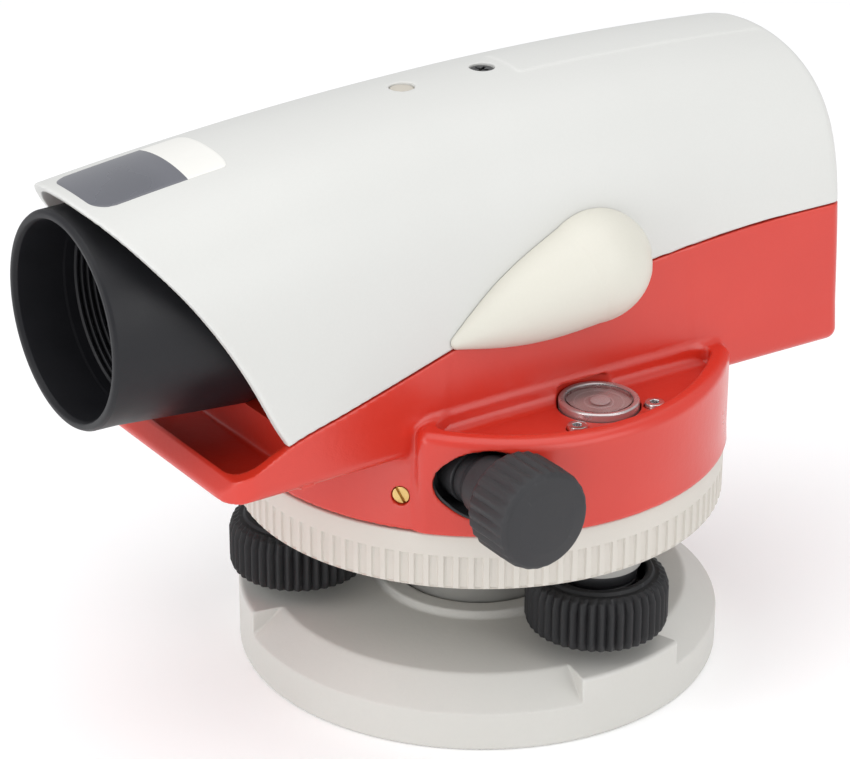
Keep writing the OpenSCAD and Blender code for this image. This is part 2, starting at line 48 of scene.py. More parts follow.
def centre(node):
    lo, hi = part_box(node)
    return (lo + hi) / 2 * 1000


# anchors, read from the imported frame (millimetres)
TEL_Z = float(centre("lens_hood").z)
HOOD_Y = float(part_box("lens_hood")[0].y * 1000)
BUB = centre("bubble_case")
DRIVE = centre("drive_knobs")
FOCUS = centre("focus_knob")
REAR = float(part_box("main_housing")[1].y * 1000)
PLUG = centre("cover_plug")
SCREW = centre("cover_screw")

# ------------------------------------------------------------------ field helpers


def r_and(a, b, r):
    return np.minimum(-r, np.maximum(a, b)) + np.hypot(np.maximum(a + r, 0), np.maximum(b + r, 0))


def r_or(a, b, r):
    return np.maximum(r, np.minimum(a, b)) - np.hypot(np.maximum(r - a, 0), np.maximum(r - b, 0))


def r_sub(a, b, r):
    return r_and(a, -b, r)


def sub(a, b):
    return np.maximum(a, -b)


def smooth_curve(pts, n=600):
    """A smooth curve through the points, as two sorted arrays for np.interp, and its slope."""
    t = np.array([p[0] for p in pts], float)
    v = np.array([p[1] for p in pts], float)
    m = np.gradient(v, t)
    d = np.diff(v) / np.diff(t)
    for i in range(len(d)):  # keeps the curve monotone between points
        if abs(d[i]) < 1e-9:
            m[i] = m[i + 1] = 0
        else:
            a, b = m[i] / d[i], m[i + 1] / d[i]
            s = a * a + b * b
            if s > 9:
                q = 3 / math.sqrt(s)
                m[i], m[i + 1] = q * a * d[i], q * b * d[i]
    x = np.linspace(t[0], t[-1], n)
    k = np.clip(np.searchsorted(t, x, "right") - 1, 0, len(t) - 2)
    h = t[k + 1] - t[k]
    u = (x - t[k]) / h
    y = (
        (2 * u**3 - 3 * u**2 + 1) * v[k]
        + (u**3 - 2 * u**2 + u) * h * m[k]
        + (-2 * u**3 + 3 * u**2) * v[k + 1]
        + (u**3 - u**2) * h * m[k + 1]
    )
    return x, y, np.gradient(y, x)


PART = smooth_curve([(-100, 75.0), (-91.5, 78.6), (-86.5, 80.7), (-76.2, 85.3), (-60, 89.8), (-40, 95.4), (-31, 98), (-15, 101.2), (0, 103.8), (24, 107), (50, 109.2), (66, 109.7), (90, 109.7)])
FRONT = smooth_curve([(60, -66.5), (85.3, -76.2), (89.6, -78.6), (95, -81.2), (103.6, -85.5), (111.4, -90), (118, -94.2), (123.5, -98), (129, -102.2), (133.5, -105.6), (137, -108.4), (139.2, -110.4), (141.2, -112.0), (143, -112.8), (160, -112.9)])


def above_part(y, z):
    """Distance above the parting line between cover and housing."""
    s = np.interp(y, PART[0], PART[2])
    return (z - np.interp(y, PART[0], PART[1])) / np.sqrt(1 + s * s)


def behind_front(y, z):
    """Distance behind the raked front edge of the cover."""
    s = np.interp(z, FRONT[0], FRONT[2])
    return (y - np.interp(z, FRONT[0], FRONT[1])) / np.sqrt(1 + s * s)


def crown(y):
    return 149.3 - 0.00058 * (y - 12) ** 2


def half_w(y):
    return 36 + 0.023 * np.clip(y + 20, 0, 101)


def arch(x, y, z):
    """The telescope body's long arch section, without its ends."""
    ax = np.abs(x)
    hw = half_w(y)
    hh = crown(y) - 84
    v = np.clip((z - 84) / hh, 0, 1.4)
    k = 1 - 0.08 * v
    q = ax / (hw * k)
    v4 = v**4
    f = q * q + v4 * v - 1
    gx = 2 * q / (hw * k)
    gz = (0.16 * q * q / k + 5 * v4) / hh
    up = np.clip(f / np.maximum(np.hypot(gx, gz), 1e-3), -40, 60)
    low = ax - hw - 0.6 * np.clip((84 - z) / 7, 0, 1)
    return np.where(z > 84, up, low)


def outer(x, y, z):
    d = arch(x, y, z)
    return r_and(d, y - REAR, 3.0)


# ------------------------------------------------------------------ meshing a field


def grad(f, p, h=0.04):
    k = ((1, 1, 1), (1, -1, -1), (-1, 1, -1), (-1, -1, 1))
    g = np.zeros_like(p)
    for s in k:
        s = np.array(s, float)
        q = p + s * h
        g += f(q[:, 0], q[:, 1], q[:, 2])[:, None] * s
    n = np.linalg.norm(g, axis=1, keepdims=True)
    return g / np.maximum(n, 1e-12)


def surface(name, f, lo, hi, h, block=8):
    """A closed quad mesh of the field's zero surface, in metres, with its creases kept sharp and normals taken from the field."""
    lo = np.array(lo, float) - 2.13 * h
    hi = np.array(hi, float) + 2.0 * h
    nb = np.ceil((hi - lo) / h / block).astype(int)
    shape = nb * block
    c = [lo[a] + (np.arange(nb[a]) * block + (block - 1) / 2) * h for a in range(3)]
    cx, cy, cz = np.meshgrid(*c, indexing="ij")
    dc = f(cx.ravel(), cy.ravel(), cz.ravel())
    reach = h * (block + 1) / 2 * math.sqrt(3) * 1.35
    grid = np.repeat(np.repeat(np.repeat(np.sign(dc).reshape(nb) * 1e3, block, 0), block, 1), block, 2).astype(np.float32)
    act = np.argwhere((np.abs(dc) < reach).reshape(nb))
    off = np.stack(np.meshgrid(*[np.arange(block)] * 3, indexing="ij"), -1).reshape(-1, 3)
    for i in range(0, len(act), 400):
        idx = (act[i : i + 400, None, :] * block + off[None]).reshape(-1, 3)
        p = lo + idx * h
        grid[idx[:, 0], idx[:, 1], idx[:, 2]] = f(p[:, 0], p[:, 1], p[:, 2])
    inside = grid < 0
    tl, quads, pts, nrm, cells = [], [], [], [], []
    for a in range(3):
        s0, s1 = [slice(None)] * 3, [slice(None)] * 3
        s0[a], s1[a] = slice(0, -1), slice(1, None)
        cross = np.argwhere(inside[tuple(s0)] != inside[tuple(s1)])
        ok = np.ones(len(cross), bool)
        for b in range(3):
            if b != a:
                ok &= (cross[:, b] > 0) & (cross[:, b] < shape[b] - 1)
        cross = cross[ok]
        e = np.zeros(3, int)
        e[a] = 1
        n1 = cross + e
        g0 = grid[cross[:, 0], cross[:, 1], cross[:, 2]].astype(float)
        g1 = grid[n1[:, 0], n1[:, 1], n1[:, 2]].astype(float)
        p0, t0, t1 = lo + cross * h, np.zeros(len(cross)), np.ones(len(cross))
        for it in range(4):
            t = t0 + (t1 - t0) * (g0 / (g0 - g1) if it < 3 else 0.5)
            t = np.clip(t, t0 + 0.02 * (t1 - t0), t1 - 0.02 * (t1 - t0)) if it < 3 else t0 + (t1 - t0) * g0 / (g0 - g1)
            q = p0.copy()
            q[:, a] += t * h
            if it == 3:
                break
            gm = f(q[:, 0], q[:, 1], q[:, 2])
            same = (gm < 0) == (g0 < 0)
            t0, g0 = np.where(same, t, t0), np.where(same, gm, g0)
            t1, g1 = np.where(same, t1, t), np.where(same, g1, gm)
        nq = grad(f, q)
        b, c2 = (a + 1) % 3, (a + 2) % 3
        ring = []
        for db, dc2 in ((0, 0), (-1, 0), (-1, -1), (0, -1)):
            cell = cross.copy()
            cell[:, b] += db
            cell[:, c2] += dc2
            ring.append((cell[:, 0] * shape[1] + cell[:, 1]) * shape[2] + cell[:, 2])
        ring = np.stack(ring, 1)
        flip = ~inside[cross[:, 0], cross[:, 1], cross[:, 2]]
        ring[flip] = ring[flip][:, ::-1]
        quads.append(ring)
        for k in range(4):
            cells.append(ring[:, k])
            pts.append(q)
            nrm.append(nq)
    quads = np.concatenate(quads)
    cells, pts, nrm = np.concatenate(cells), np.concatenate(pts), np.concatenate(nrm)
    ids, inv = np.unique(cells, return_inverse=True)
    inv = inv.ravel()
    m = len(ids)
    cnt = np.bincount(inv, minlength=m).astype(float)
    mass = np.stack([np.bincount(inv, pts[:, k], m) for k in range(3)], 1) / cnt[:, None]
    avg = np.stack([np.bincount(inv, nrm[:, k], m) for k in range(3)], 1) / cnt[:, None]
    ata = np.zeros((m, 3, 3))
    for i in range(3):
        for j in range(i, 3):
            ata[:, i, j] = ata[:, j, i] = np.bincount(inv, nrm[:, i] * nrm[:, j], m)
    rhs = ((pts - mass[inv]) * nrm).sum(1)
    atb = np.stack([np.bincount(inv, nrm[:, k] * rhs, m) for k in range(3)], 1)
    ata += np.eye(3) * (0.05 * cnt)[:, None, None]
    v = mass + np.linalg.solve(ata, atb[..., None])[..., 0]
    ci = np.stack([ids // (shape[1] * shape[2]), (ids // shape[2]) % shape[1], ids % shape[2]], 1)
    clo = lo + ci * h
    v = np.clip(v, clo - 0.02 * h, clo + 1.02 * h)
    crease = np.linalg.norm(avg, axis=1) < 0.972
    # smooth places: one step onto the surface
    flat = ~crease
    g = grad(f, v[flat])
    d = f(v[flat][:, 0], v[flat][:, 1], v[flat][:, 2])
    v[flat] -= g * np.clip(d, -0.3 * h, 0.3 * h)[:, None]
    face = np.searchsorted(ids, quads)
    vn = np.zeros_like(v)
    vn[flat] = grad(f, v[flat])
    vn[crease] = avg[crease] / np.linalg.norm(avg[crease], axis=1, keepdims=True)
    ln = vn[face].reshape(-1, 3)
    mid = v[face].mean(1)
    cor = crease[face].reshape(-1)
    cp = (v[face] * 0.62 + mid[:, None] * 0.38).reshape(-1, 3)[cor]
    if len(cp):
        ln[cor] = grad(f, cp)
    # a corner normal never leans away from its own face
    e1, e2 = v[face[:, 2]] - v[face[:, 0]], v[face[:, 3]] - v[face[:, 1]]
    fn = np.cross(e1, e2)
    fn /= np.maximum(np.linalg.norm(fn, axis=1, keepdims=True), 1e-12)
    fnl = np.repeat(fn, 4, 0)
    bad = (ln * fnl).sum(1) < 0.35
    ln[bad] = fnl[bad]
    return build(name, v * MM, face, ln)


def build(name, verts, faces, loop_normals=None):
    """faces is an (n, 4) array, or a list of index lists."""
    me = bpy.data.meshes.new(name)
    if isinstance(faces, np.ndarray):
        n, k = faces.shape
        me.vertices.add(len(verts))
        me.vertices.foreach_set("co", np.asarray(verts, np.float32).ravel())
        me.loops.add(n * k)
        me.loops.foreach_set("vertex_index", faces.astype(np.int32).ravel())
        me.polygons.add(n)
        me.polygons.foreach_set("loop_start", np.arange(0, n * k, k, dtype=np.int32))
        me.update(calc_edges=True)
    else:
        me.from_pydata([tuple(map(float, v)) for v in verts], [], [list(map(int, f)) for f in faces])
        me.update()
    me.polygons.foreach_set("use_smooth", np.ones(len(me.polygons), bool))
    if loop_normals is not None:
        me.normals_split_custom_set(np.asarray(loop_normals, np.float32))
    ob = bpy.data.objects.new(name, me)
    bpy.context.scene.collection.objects.link(ob)
    return ob


# ------------------------------------------------------------------ turned pieces


def rounded(pts, n=4):
    """Profile corners (a, b, radius[, mod]) turned into arcs. Returns (a, b, mod) points."""
    out = []
    k = len(pts)
    P = [np.array(p[:2], float) for p in pts]
    for i in range(k):
        r = pts[i][2] if len(pts[i]) > 2 else 0
        m = pts[i][3] if len(pts[i]) > 3 else 0
        a, b, c = P[i - 1], P[i], P[(i + 1) % k]
        u, w = a - b, c - b
        lu, lw = np.linalg.norm(u), np.linalg.norm(w)
        if r <= 0 or lu < 1e-6 or lw < 1e-6:
            out.append((b[0], b[1], m))
            continue
        u, w = u / lu, w / lw
        cosang = np.clip(u @ w, -1, 1)
        half = math.acos(cosang) / 2
        if half > math.pi / 2 - 0.03:
            out.append((b[0], b[1], m))
            continue
        t = min(r / math.tan(half), lu * 0.48, lw * 0.48)
        rr = t * math.tan(half)
        s, e = b + u * t, b + w * t
        cen = b + (u + w) / np.linalg.norm(u + w) * rr / math.sin(half)
        a0, a1 = math.atan2(*(s - cen)[::-1]), math.atan2(*(e - cen)[::-1])
        da = (a1 - a0 + math.pi) % (2 * math.pi) - math.pi
        for j in range(n + 1):
            an = a0 + da * j / n
            out.append((cen[0] + rr * math.cos(an), cen[1] + rr * math.sin(an), m))
    return out


def fine(prof, step, closed):
    """Long straight stretches of a profile cut into shorter ones."""
    out = []
    k = len(prof)
    for i in range(k):
        a, b = prof[i], prof[(i + 1) % k]
        out.append(a)
        if i == k - 1 and not closed:
            break
        n = int(math.ceil(math.hypot(b[0] - a[0], b[1] - a[1]) / step))
        for j in range(1, n):
            t = j / n
            out.append(tuple(a[q] + (b[q] - a[q]) * t for q in range(3)))
    return out


def lathe(name, prof, axis, at, seg=192, wave=None, sharp=32, closed=True, step=2.0):
    """prof: (radius, height along axis[, corner radius[, wave weight]]) in mm. at: the axis' place, in mm. wave(angle, height) gives a radial offset in mm, times the weight."""
    prof = fine(rounded(prof), step, closed)
    th = np.arange(seg) / seg * 2 * math.pi
    verts, rings = [], []
    for r, hgt, m in prof:
        if r < 1e-6:
            rings.append([len(verts)] * seg)
            verts.append((0.0, 0.0, hgt))
            continue
        rr = r + (wave(th, hgt) * m if wave is not None and m else 0) * np.ones(seg)
        rings.append(list(range(len(verts), len(verts) + seg)))
        verts += list(zip(rr * np.cos(th), rr * np.sin(th), np.full(seg, hgt)))
    faces = []
    k = len(prof)
    for i in range(k if closed else k - 1):
        A, B = rings[i], rings[(i + 1) % k]
        if A[0] == A[-1] and B[0] == B[-1]:
            continue
        for j in range(seg):
            j2 = (j + 1) % seg
            q = [A[j], A[j2], B[j2], B[j]]
            q2 = []
            for x in q:
                if x not in q2:
                    q2.append(x)
            if len(q2) > 2:
                faces.append(q2)
    V = np.array(verts, float)
    if axis == "z":
        W = np.stack([V[:, 0] + at[0], V[:, 1] + at[1], V[:, 2]], 1)
    elif axis == "y":
        W = np.stack([V[:, 0] + at[0], V[:, 2], V[:, 1] + at[1]], 1)
    elif axis == "x":
        W = np.stack([V[:, 2], V[:, 0] + at[0], V[:, 1] + at[1]], 1)
    else:  # a full matrix
        M = np.array(axis, float)
        W = V @ M[:3, :3].T + M[:3, 3]
    vol = 0.0
    for f in faces[:: max(1, len(faces) // 20000)]:
        vol += np.dot(W[f[0]], np.cross(W[f[1]], W[f[2]]))
        if len(f) == 4:
            vol += np.dot(W[f[0]], np.cross(W[f[2]], W[f[3]]))
    if vol < 0:
        faces = [f[::-1] for f in faces]
    ob = build(name, W * MM, faces)
    ob.data.set_sharp_from_angle(angle=math.radians(sharp))
    return ob


# ------------------------------------------------------------------ materials


def N(t, kind, **kw):
    n = t.nodes.new(kind)
    for k, v in kw.items():
        setattr(n, k, v)
    return n


def mix_rgb(t, fac, a, b, blend="MIX"):
    m = N(t, "ShaderNodeMix", data_type="RGBA", blend_type=blend)
    for sock, v in ((0, fac), (6, a), (7, b)):
        if isinstance(v, (int, float)):
            m.inputs[sock].default_value = v
        elif isinstance(v, (tuple, list)):
            m.inputs[sock].default_value = (*v[:3], 1)
        else:
            t.links.new(v, m.inputs[sock])
    return m.outputs[2]


def remap(t, v, a, b, c, d):
    m = N(t, "ShaderNodeMapRange")
    m.clamp = True
    t.links.new(v, m.inputs[0])
    for i, x in enumerate((a, b, c, d)):
        m.inputs[i + 1].default_value = x
    return m.outputs[0]


def surface_mat(
    name, base, rough=0.5, metal=0.0, spec=0.5, coat=0.0, coat_rough=0.1, tint=None, var=0.35, var_scale=60,
    grain=None, grain_scale=900, grain_depth=0.02, fine_scale=3000, fine_depth=0.0, rough_var=0.08, wear_and_highlight=None, wear_and_highlight_at=(0.53, 0.6), wear_and_highlight_amt=0.5,
    hollow_shade=None, brush=None, sheen=0.0, streak=0.0,
):
    """A procedural finish: cloudy colour variation, grain in bump and roughness, convex edges lightened (worn edges,
    and also a painted edge highlight) and hollows darkened with painted shade.
    """
    m = bpy.data.materials.new(name)
    m.use_nodes = True
    t = m.node_tree
    b = t.nodes["Principled BSDF"]
    tc = N(t, "ShaderNodeTexCoord")
    co = tc.outputs["Object"]
    if brush:
        mp = N(t, "ShaderNodeMapping")
        mp.inputs["Scale"].default_value = brush
        t.links.new(co, mp.inputs[0])
        gco = mp.outputs[0]
    else:
        gco = co
    cloud = N(t, "ShaderNodeTexNoise")
    cloud.inputs["Scale"].default_value = var_scale
    cloud.inputs["Detail"].default_value = 5
    t.links.new(co, cloud.inputs["Vector"])
    tint = tint or tuple(c * 0.9 for c in base)
    col = mix_rgb(t, remap(t, cloud.outputs[0], 0.35, 0.65, 0.0, var), base, tint)
    gn = N(t, "ShaderNodeTexNoise")
    gn.inputs["Scale"].default_value = grain_scale
    gn.inputs["Detail"].default_value = 4
    gn.inputs["Roughness"].default_value = 0.6
    t.links.new(gco, gn.inputs["Vector"])
    speck = remap(t, gn.outputs[0], 0.3, 0.7, 0.0, 0.25)
    col = mix_rgb(t, speck, col, tuple(c * 0.93 for c in base))
    geo = N(t, "ShaderNodeNewGeometry")
    # Convex edges lightened by pointiness: worn edges, and also a painted edge highlight standing in for the light
    # caught by rounded edges.
    if wear_and_highlight:
        k = remap(t, geo.outputs["Pointiness"], wear_and_highlight_at[0], wear_and_highlight_at[1], 0.0, wear_and_highlight_amt)
        brk = N(t, "ShaderNodeMath", operation="MULTIPLY")
        t.links.new(k, brk.inputs[0])
        t.links.new(remap(t, gn.outputs[0], 0.35, 0.6, 0.35, 1.0), brk.inputs[1])
        col = mix_rgb(t, brk.outputs[0], col, wear_and_highlight)
    # Hollows darkened by pointiness: painted shade, ambient occlusion painted into the colour.
    if hollow_shade:
        k = remap(t, geo.outputs["Pointiness"], 0.47, 0.40, 0.0, 0.6)
        col = mix_rgb(t, k, col, hollow_shade)
    t.links.new(col, b.inputs["Base Color"])
    t.links.new(remap(t, cloud.outputs[0], 0.3, 0.7, max(0.02, rough - rough_var), min(1, rough + rough_var)), b.inputs["Roughness"])
    b.inputs["Metallic"].default_value = metal
    b.inputs["Specular IOR Level"].default_value = spec
    b.inputs["Coat Weight"].default_value = coat
    b.inputs["Coat Roughness"].default_value = coat_rough
    b.inputs["Sheen Weight"].default_value = sheen
    bump = N(t, "ShaderNodeBump")
    bump.inputs["Distance"].default_value = grain_depth * MM
    bump.inputs["Strength"].default_value = 1.0
    t.links.new(gn.outputs[0], bump.inputs["Height"])
    last = bump
    if fine_depth:
        fn = N(t, "ShaderNodeTexNoise")
        fn.inputs["Scale"].default_value = fine_scale
        fn.inputs["Detail"].default_value = 3
        t.links.new(gco, fn.inputs["Vector"])
        b2 = N(t, "ShaderNodeBump")
        b2.inputs["Distance"].default_value = fine_depth * MM
        t.links.new(fn.outputs[0], b2.inputs["Height"])
        t.links.new(bump.outputs[0], b2.inputs["Normal"])
        last = b2
    t.links.new(last.outputs[0], b.inputs["Normal"])
    return m


def glass_mat(name, colour, rough, ior=1.5, coat=0.0, trans=1.0):
    m = bpy.data.materials.new(name)
    m.use_nodes = True
    t = m.node_tree
    b = t.nodes["Principled BSDF"]
    tc = N(t, "ShaderNodeTexCoord")
    n = N(t, "ShaderNodeTexNoise")
    n.inputs["Scale"].default_value = 240
    t.links.new(tc.outputs["Object"], n.inputs["Vector"])
    col = mix_rgb(t, remap(t, n.outputs[0], 0.4, 0.7, 0, 0.4), colour, tuple(c * 0.92 for c in colour))
    t.links.new(col, b.inputs["Base Color"])
    t.links.new(remap(t, n.outputs[0], 0.3, 0.7, rough * 0.6, rough * 1.5 + 0.01), b.inputs["Roughness"])
    b.inputs["Transmission Weight"].default_value = trans
    b.inputs["IOR"].default_value = ior
    b.inputs["Coat Weight"].default_value = coat
    bump = N(t, "ShaderNodeBump")
    bump.inputs["Distance"].default_value = 0.002 * MM
    t.links.new(n.outputs[0], bump.inputs["Height"])
    t.links.new(bump.outputs[0], b.inputs["Normal"])
    return m


M = {}
# Each wear colour below lightens convex edges: worn edges, and also a painted edge highlight.
M["body_red"] = surface_mat("red_paint", (0.62, 0.030, 0.014), rough=0.33, spec=0.5, coat=0.35, coat_rough=0.22, tint=(0.56, 0.022, 0.010), var=0.5, var_scale=35, grain_scale=650, grain_depth=0.055, fine_scale=2600, fine_depth=0.006, rough_var=0.06, wear_and_highlight=(0.72, 0.09, 0.05), wear_and_highlight_at=(0.53, 0.60), wear_and_highlight_amt=0.45)
M["cover_white"] = surface_mat("white_plastic", (0.665, 0.665, 0.64), rough=0.42, spec=0.45, tint=(0.64, 0.64, 0.615), var=0.5, var_scale=25, grain_scale=1500, grain_depth=0.012, fine_scale=4200, fine_depth=0.004, rough_var=0.05, wear_and_highlight=(0.74, 0.74, 0.72), wear_and_highlight_at=(0.52, 0.6), wear_and_highlight_amt=0.5)
M["bump_cream"] = surface_mat("cream_plastic", (0.67, 0.65, 0.575), rough=0.45, spec=0.42, tint=(0.645, 0.625, 0.55), var=0.5, var_scale=40, grain_scale=1500, grain_depth=0.012, fine_scale=4200, fine_depth=0.004, rough_var=0.06)
# The ring's rib hollows get painted shade: a darker colour in concave places.
M["ring_grey"] = surface_mat("ring_plastic", (0.63, 0.595, 0.54), rough=0.55, spec=0.4, tint=(0.60, 0.565, 0.51), var=0.5, var_scale=45, grain_scale=1700, grain_depth=0.018, rough_var=0.08, wear_and_highlight=(0.74, 0.72, 0.68), wear_and_highlight_at=(0.52, 0.6), wear_and_highlight_amt=0.5, hollow_shade=(0.40, 0.38, 0.35))
M["cast_grey"] = surface_mat("grey_casting", (0.62, 0.61, 0.575), rough=0.6, spec=0.4, tint=(0.585, 0.575, 0.54), var=0.6, var_scale=30, grain_scale=900, grain_depth=0.035, fine_scale=3200, fine_depth=0.008, rough_var=0.08, wear_and_highlight=(0.72, 0.71, 0.69), wear_and_highlight_at=(0.52, 0.6), wear_and_highlight_amt=0.5)
M["tribrach_grey"] = surface_mat("grey_alloy", (0.36, 0.355, 0.335), rough=0.42, metal=0.35, spec=0.5, tint=(0.31, 0.305, 0.29), var=0.6, var_scale=40, grain_scale=900, grain_depth=0.03, fine_scale=3000, fine_depth=0.008, rough_var=0.1)
M["black_rubber"] = surface_mat("black_knob", (0.022, 0.022, 0.024), rough=0.55, spec=0.42, tint=(0.03, 0.03, 0.033), var=0.8, var_scale=90, grain_scale=1600, grain_depth=0.03, fine_scale=4000, fine_depth=0.01, rough_var=0.1, wear_and_highlight=(0.05, 0.05, 0.053), wear_and_highlight_at=(0.53, 0.64), wear_and_highlight_amt=0.35, sheen=0.0)
M["black_foot"] = surface_mat("black_foot", (0.012, 0.012, 0.013), rough=0.55, spec=0.32, tint=(0.018, 0.018, 0.02), var=0.8, var_scale=90, grain_scale=1600, grain_depth=0.03, fine_scale=4000, fine_depth=0.01, rough_var=0.1, wear_and_highlight=(0.06, 0.06, 0.063), wear_and_highlight_at=(0.52, 0.62), wear_and_highlight_amt=0.6)
M["hood_black"] = surface_mat("black_hood", (0.010, 0.010, 0.012), rough=0.45, spec=0.3, tint=(0.014, 0.014, 0.017), var=0.7, var_scale=60, grain_scale=1900, grain_depth=0.02, fine_scale=4500, fine_depth=0.006, rough_var=0.07, wear_and_highlight=(0.10, 0.10, 0.10), wear_and_highlight_at=(0.52, 0.58), wear_and_highlight_amt=0.9)
M["black_metal"] = surface_mat("black_anodised", (0.020, 0.020, 0.022), rough=0.38, metal=0.3, spec=0.5, tint=(0.028, 0.028, 0.03), var=0.7, var_scale=80, grain_scale=2400, grain_depth=0.01, rough_var=0.08)
M["brass"] = surface_mat("brass_turned", (0.72, 0.50, 0.20), rough=0.3, metal=1.0, tint=(0.60, 0.40, 0.14), var=0.8, var_scale=300, grain_scale=1800, grain_depth=0.01, rough_var=0.12)
M["steel"] = surface_mat("steel_turned", (0.56, 0.56, 0.57), rough=0.28, metal=1.0, tint=(0.48, 0.48, 0.49), var=0.8, var_scale=200, grain_scale=1800, grain_depth=0.008, rough_var=0.1)
M["spring_steel"] = surface_mat("spring_steel", (0.44, 0.44, 0.46), rough=0.34, metal=1.0, tint=(0.36, 0.37, 0.40), var=0.8, var_scale=160, grain_scale=1500, grain_depth=0.01, rough_var=0.1)
M["chrome"] = surface_mat("nickel_plate", (0.72, 0.72, 0.73), rough=0.2, metal=1.0, tint=(0.66, 0.65, 0.64), var=0.7, var_scale=300, grain_scale=2200, grain_depth=0.006, rough_var=0.08)
M["grey_metal"] = surface_mat("grey_metal", (0.34, 0.34, 0.35), rough=0.4, metal=0.8, tint=(0.29, 0.29, 0.30), var=0.7, var_scale=120, grain_scale=1500, grain_depth=0.015, rough_var=0.1)
M["vial_metal"] = surface_mat("vial_metal", (0.60, 0.55, 0.55), rough=0.3, metal=0.75, tint=(0.52, 0.47, 0.47), var=0.7, var_scale=180, grain_scale=2400, grain_depth=0.008, rough_var=0.08)
M["plug_grey"] = surface_mat("plug_plastic", (0.56, 0.52, 0.45), rough=0.5, spec=0.4, tint=(0.50, 0.46, 0.40), var=0.7, var_scale=200, grain_scale=1500, grain_depth=0.02, rough_var=0.08)
M["dark_screw"] = surface_mat("dark_screw", (0.05, 0.05, 0.052), rough=0.35, metal=0.7, tint=(0.08, 0.08, 0.08), var=0.8, var_scale=300, grain_scale=2000, grain_depth=0.01, rough_var=0.1, wear_and_highlight=(0.3, 0.3, 0.3), wear_and_highlight_at=(0.52, 0.6))
M["scale_white"] = surface_mat("scale_white", (0.80, 0.80, 0.77), rough=0.45, tint=(0.77, 0.77, 0.74), var=0.6, var_scale=80, grain_scale=1500, grain_depth=0.006)
M["label_grey"] = surface_mat("label_grey", (0.115, 0.118, 0.135), rough=0.3, spec=0.5, coat=0.3, coat_rough=0.2, tint=(0.135, 0.138, 0.158), var=0.8, var_scale=60, grain_scale=2200, grain_depth=0.006, rough_var=0.06)
M["label_white"] = surface_mat("label_white", (0.83, 0.82, 0.78), rough=0.35, spec=0.5, tint=(0.80, 0.79, 0.75), var=0.7, var_scale=60, grain_scale=2200, grain_depth=0.006, rough_var=0.06)
M["vial_base"] = surface_mat("vial_base", (0.60, 0.54, 0.53), rough=0.35, spec=0.5, tint=(0.68, 0.62, 0.61), var=0.9, var_scale=130, grain_scale=1500, grain_depth=0.006)
M["ink_ring"] = surface_mat("ink_ring", (0.80, 0.76, 0.76), rough=0.35, tint=(0.74, 0.70, 0.70), var=0.6, var_scale=200, grain_scale=1800, grain_depth=0.004)
M["glass"] = glass_mat("optical_glass", (0.93, 0.97, 0.97), 0.015, 1.52)
M["coated_glass"] = glass_mat("coated_glass", (0.60, 0.70, 0.86), 0.02, 1.6, coat=0.5)
M["vial_glass"] = glass_mat("vial_glass", (0.96, 0.94, 0.94), 0.03, 1.48)


def dress(ob, key, slot_name=None):
    ob.data.materials.clear()
    ob.data.materials.append(M[key])
    return ob


def piece(ob, key, body, slot_name, *nodes):
    dress(ob, key)
    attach(ob, body)
    if nodes:
        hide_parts(*nodes)
    return ob


# ------------------------------------------------------------------ main housing

BX, BY = float(BUB.x), float(BUB.y)
DY, DZ = float(DRIVE.y), float(DRIVE.z)
FY, FZ = float(FOCUS.y), float(FOCUS.z)
C49, S49 = math.cos(math.radians(49.5)), math.sin(math.radians(49.5))


def recess(ax, y, z):
    """Distance from the recess of a drive knob, which narrows inwards."""
    return np.hypot(np.maximum(np.abs(y - DY + 1.4) - 1.4, 0), z - DZ) + 1.35 * np.clip((50 - ax) / 5, 0, 1)


